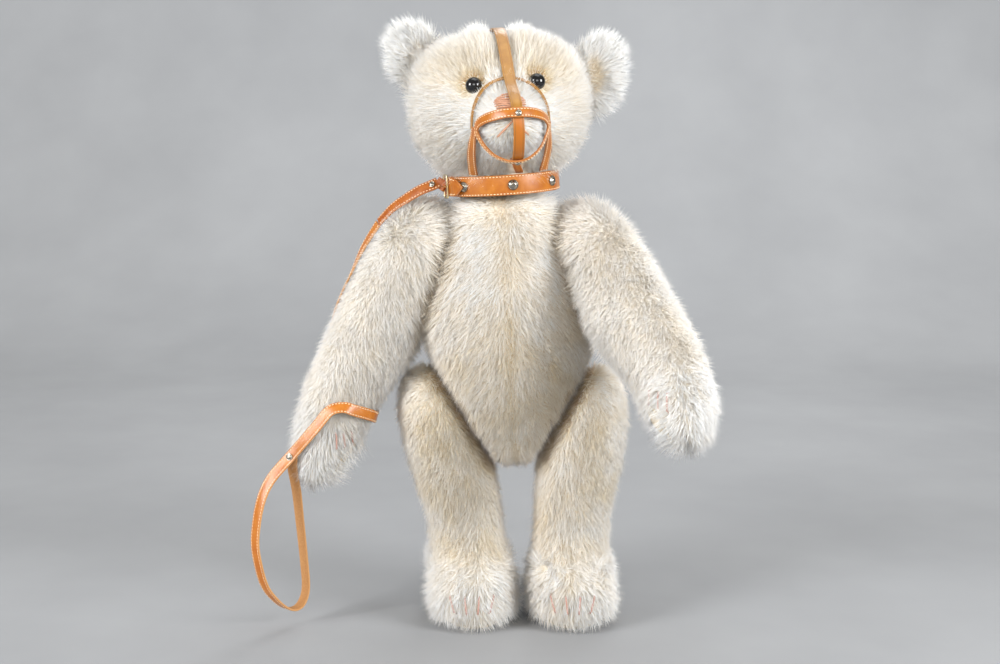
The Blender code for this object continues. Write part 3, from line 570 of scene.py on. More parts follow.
def makeLead(part, rivet):
    route = leadSetup[part]
    count = 4 * len(route) - 3
    points = smoothRun([Vector(stop[:3]) for stop in route], count)
    normals = [n.normalized() for n in smoothRun([Vector(stop[3:]) for stop in route], count)]
    line = lineOf(points, normals, leadSetup["width"])
    strap = sweepStrap(f"lead_{part}_strap", line, leadSetup["thick"], leathers[leadSetup["leather"][part]])
    bm = bmesh.new()
    addStitches(bm, line, leadSetup["thick"])
    stitches = addPiece(f"lead_{part}_stitching", bm, finishes["sewingThread"])
    for piece in (strap, stitches):
        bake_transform(piece)
    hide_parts(f"lead_{part}")


# Rivets and studs: pressed nickel caps with a rolled rim

studSetup = {"rim": 0.16, "dimple": 0.12, "steps": 32}


def capProfile(radius, rise, rim):
    return [
        (0.0, rise * (1 - studSetup["dimple"])),
        (radius * 0.25, rise),
        (radius * 0.55, rise * 0.86),
        (radius * (1 - 2 * rim), rise * 0.5),
        (radius * (1 - rim), rise * 0.32),
        (radius * (1 - rim / 2), rise * 0.42),
        (radius, rise * 0.2),
        (radius * 0.99, 0.0),
        (0.0, 0.0),
    ]


def spinProfile(profile, steps):
    bm = bmesh.new()
    verts = [bm.verts.new((r, 0, h)) for r, h in profile]
    edges = [bm.edges.new(pair) for pair in zip(verts, verts[1:])]
    bmesh.ops.spin(
        bm, geom=verts + edges, cent=(0, 0, 0), axis=(0, 0, 1), angle=math.tau, steps=steps, use_merge=True
    )
    bmesh.ops.remove_doubles(bm, verts=bm.verts, dist=1e-6)
    bmesh.ops.recalc_face_normals(bm, faces=bm.faces)
    return bm


def mainAxis(node, which, sign):
    # one of a node's own axes, towards the side where it reaches further from its middle (1) or less far (-1)
    bm = mergedCopy(node)
    points = np.array([v.co for v in bm.verts])
    bm.free()
    centre = points.mean(axis=0)
    axis = np.linalg.svd(points - centre)[2][which]
    heights = (points - centre) @ axis
    if sign * (heights.max() + heights.min()) < 0:
        axis, heights = -axis, -heights
    return points - centre, centre, axis, heights


def makeCap(node, body):
    points, centre, axis, heights = mainAxis(node, 2, 1)
    radius = np.linalg.norm(points - np.outer(heights, axis), axis=1).max()
    bm = spinProfile(capProfile(float(radius), float(np.ptp(heights)), studSetup["rim"]), studSetup["steps"])
    turn = Vector(axis).to_track_quat("Z", "Y").to_matrix().to_4x4()
    base = Matrix.Translation(Vector(centre + axis * heights.min()))
    bmesh.ops.transform(bm, matrix=base @ turn, verts=bm.verts)
    cap = addPiece(f"{node}_cap", bm, finishes["nickelPlate"], 60)
    settle(cap, body, "nickel", node)
    return cap


makeLead("upper", makeCap("lead_upper_rivet", "head"))
makeLead("lower", makeCap("lead_lower_rivet", "right_arm"))
for capNode in ("front_stud", "left_stud", "right_stud", "bridge_rivet", "chin_rivet"):
    makeCap(capNode, "head")
print("scene: lead laid")


# Frames of the head, for what is sewn or buckled to it

neckSetup = {"place": (0.0062683, 0.0570, 0.4333), "roll": -3.5, "length": 0.0205, "yaw": 6.0}
neckPlace = Matrix.Translation(neckSetup["place"]) @ Matrix.Rotation(math.radians(neckSetup["roll"]), 4, "Y")
facePlace = neckPlace @ Matrix.Translation((0, 0, neckSetup["length"]))
facePlace = facePlace @ Matrix.Rotation(math.radians(neckSetup["yaw"]), 4, "Z")
headTree = treeOf("head_plush")


# Muzzle: each strap takes its line from the CAD node, whose four long edges give its middle and its face

def sharpChains(bm):
    ahead = {}
    for edge in bm.edges:
        if len(edge.link_faces) == 2 and edge.calc_face_angle(0.0) > 1.2:
            for vert in edge.verts:
                ahead.setdefault(vert, []).append(edge.other_vert(vert))
    corners = [vert for vert, others in ahead.items() if len(others) == 3]
    closed = len(corners) < 8
    for vert in corners:
        ahead[vert] = [other for other in ahead[vert] if other not in corners]
    chains, seen = [], set()
    for start in ahead if closed else corners:
        if start in seen:
            continue
        chain = [start]
        seen.add(start)
        while True:
            onward = [other for other in ahead[chain[-1]] if other not in seen]
            if not onward:
                break
            chain.append(onward[0])
            seen.add(onward[0])
        chains.append(np.array([vert.co for vert in chain]))
    return chains, closed


def aligned(chain, guide, closed):
    # the chain turned and started so that its points lie beside the guide's
    shifts = range(len(chain) if closed else 1)
    turned = [np.roll(run, shift, axis=0) for run in (chain, chain[::-1]) for shift in shifts]
    return min(turned, key=lambda points: np.linalg.norm(points - guide, axis=1).sum())


def strapLine(node, tree):
    bm = mergedCopy(node)
    chains, closed = sharpChains(bm)
    bm.free()
    guide = chains[0]
    others = sorted(
        (aligned(chain, guide, closed) for chain in chains[1:]),
        key=lambda chain: np.linalg.norm(chain - guide, axis=1).mean(),
    )
    under, across, diagonal = others
    line = []
    for a, b, c, d in zip(guide, under, across, diagonal):
        middle = Vector((a + b + c + d) / 4)
        side = Vector((a + b - c - d) / 2)
        normal = Vector((a + c - b - d) / 2)
        if normal.dot(tree.find_nearest(middle)[1]) < 0:
            normal = -normal
        line.append((middle, side.normalized(), normal.normalized(), side.length))
    thick = float(np.linalg.norm(guide - under, axis=1).mean())
    return line, thick, closed


def relaxed(line, closed, rounds):
    # the same line with its points drawn towards their neighbours' middle
    for _ in range(rounds):
        last = len(line) - 1
        fresh = []
        for i, (point, side, normal, width) in enumerate(line):
            before = line[i - 1] if closed or i else line[i]
            after = line[(i + 1) % (last + 1)] if closed or i < last else line[i]
            point = (before[0] + point * 2 + after[0]) / 4
            fresh.append((point, side, (before[2] + normal * 2 + after[2]).normalized(), width))
        if not closed:
            fresh[0], fresh[-1] = line[0], line[-1]
        line = fresh
    return line


def finer(line, closed, times=2):
    line = relaxed(line, closed, 3)
    run = [line[-1]] + line + line[:2] if closed else line
    parts = []
    for k in range(3):
        parts.append(smoothRun([stop[k] for stop in run], times * (len(run) - 1) + 1))
    if closed:
        parts = [part[times:-2 * times] for part in parts]
    width = line[0][3]
    return [(p, s.normalized(), n.normalized(), width) for p, s, n in zip(*parts)]


def lengthened(line, start, end):
    # an open line reaching further at its ends, each piece of it following the last turn
    for first, more in ((True, start), (False, end)):
        if more:
            tip, inner = (line[0], line[1]) if first else (line[-1], line[-2])
            point, side, normal, width = tip
            fresh = (point + (point - inner[0]).normalized() * more, side, normal, width)
            line = [fresh] + line if first else line + [fresh]
    return line


# which leather, how much wider than its node, what more it reaches at either end, and whether it is stitched
muzzleStraps = {
    "head_strap": {"leather": "tan", "width": 1.0, "more": (0.0090, 0), "stitched": False},
    "nose_strap": {"leather": "worn", "width": 1.0, "more": (0.002, 0), "stitched": False},
    "front_noseband": {"leather": "orange", "width": 1.0, "more": (0, 0), "stitched": True},
    "rear_noseband": {"leather": "tan", "width": 0.42, "more": (0.007, 0.007), "stitched": False},
    "right_cheek_strap": {"leather": "orange", "width": 1.0, "more": (0.0085, 0), "stitched": True},
    "left_cheek_strap": {"leather": "orange", "width": 1.0, "more": (0.0085, 0), "stitched": True},
    "chin_strap": {"leather": "orange", "width": 1.0, "more": (0.003, 0.007), "stitched": False},
}


muzzleStitches = bmesh.new()
strapTrees = []
nosebandEnds = [corner.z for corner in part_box("front_noseband")]
nosebandCut = {"least": 0.62, "steep": 1.6, "start": 0.2}  # the front noseband is narrower under the muzzle


def slimmed(node, p):
    if node != "front_noseband":
        return 1.0
    low, high = nosebandEnds
    up = (p.z - low) / (high - low) * nosebandCut["steep"] - nosebandCut["start"]
    return nosebandCut["least"] + (1 - nosebandCut["least"]) * max(0.0, min(1.0, up))


for strapNode, setup in muzzleStraps.items():
    strapPath, strapThick, strapClosed = strapLine(strapNode, headTree)
    if strapPath[0][0].z < strapPath[-1][0].z and not strapClosed:
        strapPath.reverse()
    strapPath = lengthened(finer(strapPath, strapClosed), *setup["more"])
    strapPath = [(p, s, n, w * setup["width"] * slimmed(strapNode, p)) for p, s, n, w in strapPath]
    strapPiece = sweepStrap(
        f"{strapNode}_leather", strapPath, strapThick, leathers[setup["leather"]], strapClosed
    )
    if setup["stitched"]:
        addStitches(muzzleStitches, strapPath, strapThick, closed=strapClosed)
    settle(strapPiece, "head", "leather" if setup["leather"] == "orange" else "tan_leather", strapNode)
    if strapNode != "rear_noseband":
        strapTrees.append(treeOf(strapNode))
settle(addPiece("muzzle_stitching", muzzleStitches, finishes["sewingThread"]), "head", "thread")
print("scene: muzzle strapped")


# Collar: a stitched band with the pointed tip that comes through the buckle

collarSetup = {
    "bore": 0.0541,
    "thick": 0.0028,
    "width": 0.0195,
    "middle": 0.01045,
    "steps": 120,
    "wave": 0.0004,
    "tipAngle": -152.5,
    "tipThick": 0.0020,
    "tip": [
        (0.0000, 0.0088, -0.0012),
        (0.0040, 0.0088, 0.0004),
        (0.0080, 0.0088, 0.0020),
        (0.0130, 0.0088, 0.0037),
        (0.0180, 0.0070, 0.0048),
        (0.0225, 0.0035, 0.0056),
        (0.0250, 0.0008, 0.0060),
    ],
    "buckleAngle": -160.0,
    "buckleReach": 0.005,
    "buckleTurn": 0.0022,
    "wire": 0.0010,
    "clear": 0.0003,
}


def roundCollar(angle, radius, height=0.0):
    out = Vector((math.cos(math.radians(angle)), math.sin(math.radians(angle)), 0))
    return neckPlace @ (out * radius + axisZ * (collarSetup["middle"] + height)), neckPlace.to_3x3() @ out


def makeCollar(setup):
    up = neckPlace.to_3x3() @ axisZ
    outside = setup["bore"] + setup["thick"]
    line = []
    for k in range(setup["steps"]):
        angle = 360 * k / setup["steps"]
        sway = setup["wave"] * noise.noise(Vector((angle / 9, 3.1, 0)))
        point, out = roundCollar(angle, setup["bore"] + setup["thick"] / 2 + sway)
        line.append((point, up, out, setup["width"]))
    band = sweepStrap("collar_band_leather", line, setup["thick"], leathers["orange"], closed=True)
    stitches = bmesh.new()
    addStitches(stitches, line, setup["thick"], closed=True)
    tip = []
    for along, half, rise in smoothRun([Vector(stop) for stop in setup["tip"]], 25):
        point, out = roundCollar(setup["tipAngle"] + math.degrees(along / outside), outside + rise)
        tip.append((point, up, out, 2 * half))
    for i, (point, side, out, width) in enumerate(tip):
        along = tip[min(i + 1, len(tip) - 1)][0] - tip[max(i - 1, 0)][0]
        face = side.cross(along).normalized()
        tip[i] = (point, side, face if face.dot(out) > 0 else -face, width)
    pointed = sweepStrap("collar_tip_leather", tip, setup["tipThick"], leathers["orange"])
    addStitches(stitches, tip[2:15], setup["tipThick"])
    settle(band, "head", "leather", "collar_band")
    settle(pointed, "head", "leather")
    settle(addPiece("collar_stitching", stitches, finishes["sewingThread"]), "head", "thread")


def wirePiece(node, points, radius, cyclic):
    name = f"{node}_wire"
    curve = bpy.data.curves.new(name, "CURVE")
    curve.dimensions, curve.use_fill_caps = "3D", True
    curve.bevel_depth, curve.bevel_resolution = radius, 4
    spline = curve.splines.new("POLY")
    spline.points.add(len(points) - 1)
    for spot, point in zip(spline.points, points):
        spot.co = (*point, 1.0)
    spline.use_cyclic_u = cyclic
    shape = bpy.data.objects.new(name, curve)
    mesh = bpy.data.meshes.new_from_object(shape)
    bpy.data.objects.remove(shape)
    mesh.name = name
    mesh.materials.clear()
    mesh.materials.append(finishes["brassWire"])
    mesh.shade_smooth()
    settle(linked(name, mesh), "head", "brass_wire", node)


foldSetup = {"thick": 0.0016, "width": 0.0105, "turns": (60, 20, -20, -60, -100, -130)}


def foldLead(bar, wire):
    # the lead's end, skived thin and turned over the buckle's back bar
    start, normal = Vector(leadSetup["upper"][0][:3]), Vector(leadSetup["upper"][0][3:])
    ahead = (bar - start).normalized()
    normal = (normal - ahead * normal.dot(ahead)).normalized()
    reach = wire + foldSetup["thick"] / 2 + 0.0001
    stops = [
        (start - ahead * 0.002 + normal * 0.0001, normal),
        (start.lerp(bar, 0.45) + normal * reach * 0.6, normal),
        (bar + normal * reach, normal),
    ]
    for turn in foldSetup["turns"]:
        out = ahead * math.cos(math.radians(turn)) + normal * math.sin(math.radians(turn))
        stops.append((bar + out * reach, out))
    points, normals = (smoothRun([stop[k] for stop in stops], 33) for k in (0, 1))
    line = lineOf(points, [n.normalized() for n in normals], foldSetup["width"])
    # the fold takes the darker copy of the lead leather, painted shade
    fold = sweepStrap("lead_fold_leather", line, foldSetup["thick"], leathers["upperLead"])
    settle(fold, "head", "lead_leather")


def makeBuckle(setup):
    wire = setup["wire"]
    centre, out = roundCollar(setup["buckleAngle"], setup["bore"] + setup["thick"] + setup["clear"] + wire)
    up = neckPlace.to_3x3() @ axisZ
    along = up.cross(out)
    tall = setup["width"] / 2 + setup["clear"] + wire
    reach, turn = setup["buckleReach"], setup["buckleTurn"]
    loop = []
    for u, v, start in ((1, 1, 0), (-1, 1, 90), (-1, -1, 180), (1, -1, 270)):
        corner = centre + along * u * (reach - turn) + up * v * (tall - turn)
        for k in range(7):
            angle = math.radians(start + 15 * k)
            loop.append(corner + (along * math.cos(angle) + up * math.sin(angle)) * turn)
    wirePiece("buckle_frame", loop, wire, True)
    foldLead(centre - along * reach, wire)
    over = out * (2 * wire + setup["clear"])
    ends = [centre + over * 0.9 - along * (reach + wire), centre + over, centre + over + along * (reach + wire)]
    wirePiece("buckle_prong", ends, wire * 0.85, False)


makeCollar(collarSetup)
makeBuckle(collarSetup)
print("scene: collar buckled")


# Eyes: black glass balls set into the head

eyeSetup = {"radius": 0.008}
eyeCentres = {}
for side in sides:
    points, centre, axis, heights = mainAxis(f"{side}_eye", 0, -1)
    eyeAxis = Vector(axis)
    eyeMiddle = Vector(centre + axis * heights.max()) - eyeAxis * eyeSetup["radius"]
    eyeCentres[side] = (eyeMiddle, eyeAxis)
    eyeBall = bmesh.new()
    bmesh.ops.create_uvsphere(eyeBall, u_segments=48, v_segments=32, radius=eyeSetup["radius"])
    bmesh.ops.translate(eyeBall, vec=eyeMiddle, verts=eyeBall.verts)
    eyePiece = addPiece(f"{side}_eye_glass", eyeBall, finishes["blackGlass"])
    settle(eyePiece, "head", "eye_glass", f"{side}_eye")


# Nose, mouth and claws: tubes of thread laid on the plush

threadSetup = {
    "radius": 0.00095,
    "noseHalfWidth": 0.0145,
    "noseHalfHeight": 0.0078,
    "noseHeight": 0.0680,
    "rows": 9,
    "mouth": [
        ((0.0, 0.0640), (0.0, 0.0520)),
        ((0.0, 0.0520), (-0.0145, 0.0385)),
        ((0.0, 0.0520), (0.0145, 0.0385)),
    ],
}


def layThread(bm, points, radius, sideCount=8):
    # a tube along the points, drawn in at both ends
    last, side, rings = len(points) - 1, None, []
    turns = [math.tau * k / sideCount for k in range(sideCount)]
    for i, point in enumerate(points):
        along = (points[min(i + 1, last)] - points[max(i - 1, 0)]).normalized()
        side = (side - along * side.dot(along) if side else along.orthogonal()).normalized()
        up = along.cross(side)
        r = radius * (0.45 if i in (0, last) else 1.0)
        rings.append([(point + side * math.cos(turn) * r + up * math.sin(turn) * r,) for turn in turns])
    skinRings(bm, rings)


def onFace(x, z, lift):
    hit, normal, _, _ = headTree.ray_cast(facePlace @ Vector((x, -0.3, z)), facePlace.to_3x3() @ axisY)
    return hit + normal * lift


def makeNose(setup):
    bm = bmesh.new()
    radius, rows = setup["radius"], setup["rows"]
    for k in range(rows):
        v = 2 * (k + 0.5) / rows - 1
        half = setup["noseHalfWidth"] * (1 - abs(v) ** 2.6) ** 0.5
        z = setup["noseHeight"] + v * setup["noseHalfHeight"]
        points = []
        for i in range(13):
            u = 2 * i / 12 - 1
            lift = radius * (1.1 - 1.6 * abs(u) ** 6)
            points.append(onFace(u * half, z + 0.0003 * math.sin(3 * u + k), lift))
        layThread(bm, points, radius * 0.98)
    for start, end in setup["mouth"]:
        places = [Vector(start).lerp(Vector(end), i / 8) for i in range(9)]
        layThread(bm, [onFace(*at, radius * (1.3 if 0 < i < 8 else 0.2)) for i, at in enumerate(places)], radius)
    bmesh.ops.recalc_face_normals(bm, faces=bm.faces)
    nose = addPiece("nose_and_mouth_stitches", bm, finishes["noseThread"], 70)
    settle(nose, "head", "thread", "nose_stitching")


makeNose(threadSetup)
print("scene: face stitched")


# Claws: four stitches on each foot and three on each paw, which the pile parts round

clawSetup = {
    "foot": {"offsets": (-0.0235, -0.0085, 0.0060, 0.0205), "first": 0.039, "last": 0.020, "narrowing": 0.25},
    "paw": {"offsets": (-0.009, -0.002, 0.005), "first": 0.033, "last": 0.015, "narrowing": 0.0},
    "radius": 0.0008,
    "lift": 0.0011,
    "room": 0.0026,
}


def centreOf(node):
    low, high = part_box(node)
    return (low + high) / 2


def clawLine(tree, start, end):
    points = []
    for i in range(9):
        target = start.lerp(end, i / 8)
        hit, normal, _, _ = tree.ray_cast(Vector((target.x, -0.3, target.z)), axisY)
        if hit is not None:
            points.append(hit + normal * (clawSetup["lift"] if 0 < i < 8 else -0.002))
    return points


def findClaws(body, limb, middle, outward, height):
    tree = treeOf(f"{body}_plush")
    setup = clawSetup[limb]
    runs = []
    for offset in setup["offsets"]:
        start = middle + outward * offset
        end = middle + outward * offset * (1 - setup["narrowing"])
        start.z, end.z = height + setup["first"], height + setup["last"]
        runs.append(clawLine(tree, start, end))
    return [points for points in runs if len(points) > 4]


clawLines = {}
for side, sign in (("right", -1), ("left", 1)):
    pawMiddle = centreOf(f"{side}_paw_pad")
    clawLines[f"{side}_arm"] = findClaws(f"{side}_arm", "paw", pawMiddle, axisX * sign, pawMiddle.z)
    clawLines[f"{side}_leg"] = findClaws(f"{side}_leg", "foot", centreOf(f"{side}_sole_pad"), axisX, 0.0)


def makeClaws(body, runs):
    bm = bmesh.new()
    for points in runs:
        layThread(bm, points, clawSetup["radius"])
    bmesh.ops.recalc_face_normals(bm, faces=bm.faces)
    settle(addPiece(f"{body}_claws", bm, finishes["clawThread"], 70), body, "thread")


# Plush: a woven backing under the pile, taken from the outside of each CAD cover

jointPlaces = {
    joint["name"]: (Vector(joint["pos_m"]), Vector(joint["axis"])) for joint in frame["joints"] if "pos_m" in joint
}
jointsOf = {"head": ["neck_turn"]}
for side in sides:
    jointsOf[f"{side}_arm"] = [f"{side}_shoulder_swing"]
    jointsOf[f"{side}_leg"] = [f"{side}_hip_swing"]
jointsOf["torso"] = sum(jointsOf.values(), [])
skinSetup = {
    "pinRoom": 0.0026,
    "pinReach": 0.014,
    "eyeRoom": 0.0008,
    "shankRoom": 0.0020,
    "voxel": 0.0036,
    "smooth": 5,
}


def applyModifiers(piece):
    graph = bpy.context.evaluated_depsgraph_get()
    fresh = bpy.data.meshes.new_from_object(piece.evaluated_get(graph))
    piece.modifiers.clear()
    fresh.name = piece.name
    piece.data = fresh
    piece.data.shade_smooth()


def offLine(point, place, axis):
    away = point - place
    return (away - axis * away.dot(axis)).length, abs(away.dot(axis))


def isHole(body, point):
    for name in jointsOf.get(body, []):
        radial, along = offLine(point, *jointPlaces[name])
        if radial < skinSetup["pinRoom"] and along < skinSetup["pinReach"]:
            return True
    return body == "head" and any(
        (point - centre).length < eyeSetup["radius"] + skinSetup["eyeRoom"]
        or offLine(point, centre, axis)[0] < skinSetup["shankRoom"]
        for centre, axis in eyeCentres.values()
    )


def largestShell(bm):
    # the outer of the two skins is the one that reaches furthest
    left, best = set(bm.verts), None
    while left:
        grown, edge = set(), [left.pop()]
        while edge:
            vert = edge.pop()
            grown.add(vert)
            for link in vert.link_edges:
                other = link.other_vert(vert)
                if other in left:
                    left.remove(other)
                    edge.append(other)
        reach = max(v.co.z for v in grown) - min(v.co.z for v in grown)
        if best is None or reach > best[0]:
            best = (reach, grown)
    return best[1]


def outerShape(name, node, body):
    bm = mergedCopy(node)
    walls = [f for f in bm.faces if all(isHole(body, v.co) for v in f.verts)]
    bmesh.ops.delete(bm, geom=walls, context="FACES")
    keep = largestShell(bm)
    bmesh.ops.delete(bm, geom=[v for v in bm.verts if v not in keep], context="VERTS")
    bmesh.ops.holes_fill(bm, edges=[e for e in bm.edges if e.is_boundary], sides=0)
    bmesh.ops.join_triangles(bm, faces=bm.faces, angle_face_threshold=0.7, angle_shape_threshold=1.2)
    shape = addPiece(name, bm, finishes["mohairBacking"])
    rounded = shape.modifiers.new("rounded", "SUBSURF")
    rounded.levels = rounded.render_levels = 2
    even = shape.modifiers.new("even", "REMESH")
    even.mode = "VOXEL"
    even.voxel_size = skinSetup["voxel"]
    soft = shape.modifiers.new("soft", "SMOOTH")
    soft.iterations = skinSetup["smooth"]
    applyModifiers(shape)
    return shape


def middleX(z):
    return 0.0275 - 0.049 * z


def step(low, high, value):
    # 0 up to low and 1 from high on, smooth between; low may be the larger
    t = max(0.0, min(1.0, (value - low) / (high - low)))
    return t * t * (3 - 2 * t)


armDown = {
    side: (centreOf(f"{side}_paw_pad") - jointPlaces[f"{side}_shoulder_swing"][0]).normalized() for side in sides
}
noseTip = facePlace @ Vector((0.0, -0.135, 0.056))
headMiddle = facePlace @ Vector((0.002, 0.0, 0.060))
earOutward = {side: (centreOf(f"{side}_ear") - headMiddle).normalized() for side in sides}
headGuides = {
    node: treeOf(node) for node in ("rear_noseband", "head_strap", "chin_strap", "right_ear", "left_ear")
}


# Each combing gives the way the pile lies, how steeply it stands, its length in m and its tone from 0, brown, to 1,
# white

def combTorso(p, n):
    dx = p.x - middleX(p.z)
    out = math.tanh(dx / 0.02) * (0.85 * math.exp(-abs(dx) / 0.07))
    flow = -axisZ + axisX * out * (1.0 if n.y < 0.2 else 0.3)
    seam = step(0.000, 0.007, abs(dx)) if n.y < 0 else 1.0
    chest = step(0.24, 0.38, p.z)
    inNeck = neckPlace.inverted() @ p
    away = inNeck.xy.length
    byNeck = step(-0.030, -0.008, inNeck.z) * step(0.034, 0.044, away)
    bySide = step(0.45, 0.85, abs(n.x)) * step(0.25, 0.33, p.z)
    stand = 0.68 + 1.1 * byNeck + 0.3 * bySide
    # the chest is paler; the deeper tone lower down the torso is painted shade
    return flow, stand, 0.0135 * (0.6 + 0.4 * seam) + 0.007 * bySide, 0.42 + 0.26 * chest - 0.20 * (1 - seam)


def combArm(side):
    sign = -1 if side == "right" else 1
    shoulder, down = jointPlaces[f"{side}_shoulder_swing"][0], armDown[side]

    def comb(p, n):
        along = (p - shoulder).dot(down)
        paw = step(0.180, 0.225, along)
        across = -axisX * sign * (0.55 if n.y < 0 else 0.1)
        flow = down + across * (1 - 0.5 * paw)
        top = step(0.045, 0.0, along)
        flow = flow.lerp(-axisX * sign + down * 0.4, 0.7 * top)
        inner = step(0.1, 0.7, -n.x * sign) * step(0.17, 0.21, along)
        flow = flow - axisX * sign * 0.8 * inner
        beside = step(0.3, 0.8, -n.x * sign) * step(0.16, 0.10, along)
        tip = step(0.55, 0.95, n.dot(down))
        stand = 0.68 + 0.20 * paw + 0.3 * top + 0.4 * inner + 0.3 * beside + 1.2 * tip
        return flow, stand, 0.0135 + 0.0025 * paw + 0.003 * top + 0.004 * inner + 0.006 * beside, 0.60 + 0.24 * paw

    return comb


def combLeg(side):
    sign = -1 if side == "right" else 1

    def comb(p, n):
        foot = 1 - step(0.060, 0.078, p.z)
        centre = Vector((middleX(p.z) + sign * 0.050, 0.040, 0.035))
        flow = (-axisZ + axisX * sign * 0.25) * (1 - foot) + ((p - centre).normalized() - axisZ * 0.25) * foot
        return flow, 0.66 + 0.30 * foot, 0.0125 + 0.0045 * foot, 0.43 + 0.34 * foot

    return comb


def combHead(p, n):
    inFace = facePlace.inverted() @ p
    snout = 1 - step(-0.085, -0.060, inFace.y)
    flow = (p - noseTip).normalized()
    flow = flow + (axisZ * 0.35 if inFace.z > 0.09 else -axisZ * 0.35 * step(0.05, 0.0, inFace.z))
    flow = flow + axisX * 0.25 * math.tanh(inFace.x / 0.02)
    stand, length, tone = 0.62 + 0.15 * snout, 0.0145 - 0.0050 * snout, 0.66 + 0.25 * snout
    tone -= 0.22 * step(0.075, 0.100, inFace.z) * step(-0.02, -0.05, inFace.y)
    apart = {node: tree.find_nearest(p, 0.030)[3] for node, tree in headGuides.items()}
    apart = {node: 0.030 if far is None else far for node, far in apart.items()}
    stand += 0.35 * step(0.012, 0.006, apart["rear_noseband"])
    parting = step(0.030, 0.012, apart["head_strap"]) * step(0.004, 0.009, apart["head_strap"])
    stand += 0.45 * parting
    length *= 1 + 0.22 * parting
    length *= 0.25 + 0.75 * step(0.005, 0.011, apart["chin_strap"])
    for side in sides:
        close = step(0.016, 0.002, apart[f"{side}_ear"])
        flow = flow.lerp(earOutward[side] * 1.2, close)
        stand += 0.7 * close
        length *= 1 + 0.6 * close
    for centre, axis in eyeCentres.values():
        away = p - centre
        close = 1 - step(0.010, 0.018, away.length)
        flow = flow.lerp(away.normalized() * 1.4, close)
        length *= 1 - 0.40 * close
        tone -= 0.50 * close
    return flow, stand, length, tone


# each ear's inside is deeper in tone towards its hollow: painted shade in the hollow, darker on the left ear
shadedEarHollows = {
    "right": {"off": (0.006, -0.002), "size": (0.008, 0.013), "tone": 0.60},
    "left": {"off": (-0.006, -0.001), "size": (0.008, 0.016), "tone": 0.22},
}


def combEar(side):
    middle, hollow = centreOf(f"{side}_ear"), shadedEarHollows[side]

    def comb(p, n):
        away = p - middle
        u, v = ((away[axis] - hollow["off"][i]) / hollow["size"][i] for i, axis in enumerate((0, 2)))
        inner = step(0.1, 0.6, -n.y) * (1 - step(0.7, 1.3, math.hypot(u, v)))
        flow = away.normalized() + earOutward[side] * 1.1
        # the lower tone in the hollow is painted shade
        return flow, 0.62 - 0.2 * inner, 0.0165 - 0.0105 * inner, 0.93 + (hollow["tone"] - 0.93) * inner

    return comb


combs = {"torso": combTorso, "head": combHead}
for limb, combLimb in (("arm", combArm), ("leg", combLeg), ("ear", combEar)):
    for side in sides:
        combs[f"{side}_{limb}"] = combLimb(side)

# how deep the backing lies in m, strands to a square metre, how patchy the tone is, how much of the painted root
# shade is left out, and the shares of the backing's own direction and of the strand's in how it is shaded
plushSetup = {
    "torso": {
        "depth": 0.0052, "locks": 84000, "hairs": 560000, "patchy": 1.2,
        "pale": 0.0, "normals": (0.74, 0.30),
    },
    "head": {
        "depth": 0.0044, "locks": 95000, "hairs": 640000, "patchy": 0.6,
        "pale": 0.0, "normals": (0.74, 0.30),
    },
    "arm": {
        "depth": 0.0050, "locks": 92000, "hairs": 600000, "patchy": 0.6,
        "pale": 0.22, "normals": (0.74, 0.30),
    },
    "leg": {
        "depth": 0.0050, "locks": 88000, "hairs": 580000, "patchy": 1.1,
        "pale": 0.0, "normals": (0.74, 0.30),
    },
    "ear": {
        "depth": 0.0020, "locks": 200000, "hairs": 1100000, "patchy": 0.5,
        "pale": 0.35, "normals": (0.55, 0.52),
    },
}
padSetup = {"paw": 0.0018, "sole": 0.0025, "rim": 0.014}  # m, where the plush stops at a pad, and its rim
pads = {}
for side in sides:
    for limb, pad in (("arm", "paw"), ("leg", "sole")):
        padNode = f"{side}_{pad}_pad"
        pads[f"{side}_{limb}"] = (treeOf(padNode), padSetup[pad], centreOf(padNode))
flatRoom = {"along": 0.004, "inner": 0.015, "outer": 0.023}


def pressedBy(name, p):
    # how far the pile of this piece is flattened where its joint faces another: 0 free, 1 flat
    most = 0.0
    for jointName in jointsOf.get(name, []):
        place, axis = jointPlaces[jointName]
        radial, along = offLine(p, place, axis)
        if along < flatRoom["along"]:
            most = max(most, 1 - step(flatRoom["inner"], flatRoom["outer"], radial))
    return most


# the pile is deeper in tone where stuffed pieces meet: painted shade in the creases between them
creaseShadeSetup = {"reach": 0.017, "tone": 0.52}
meets = {"torso": ("right_arm", "left_arm", "right_leg", "left_leg")}
meets.update({limb: ("torso",) for limb in meets["torso"]})
creaseTrees = {name: [treeOf(f"{other}_plush") for other in others] for name, others in meets.items()}


def paintedCreaseShade(name, p):
    # 1 where another stuffed piece lies against this one, down to 0 at the reach: how much painted shade the crease
    # gets
    nears = [tree.find_nearest(p, creaseShadeSetup["reach"])[3] for tree in creaseTrees.get(name, [])]
    return max((1 - near / creaseShadeSetup["reach"] for near in nears if near is not None), default=0.0)


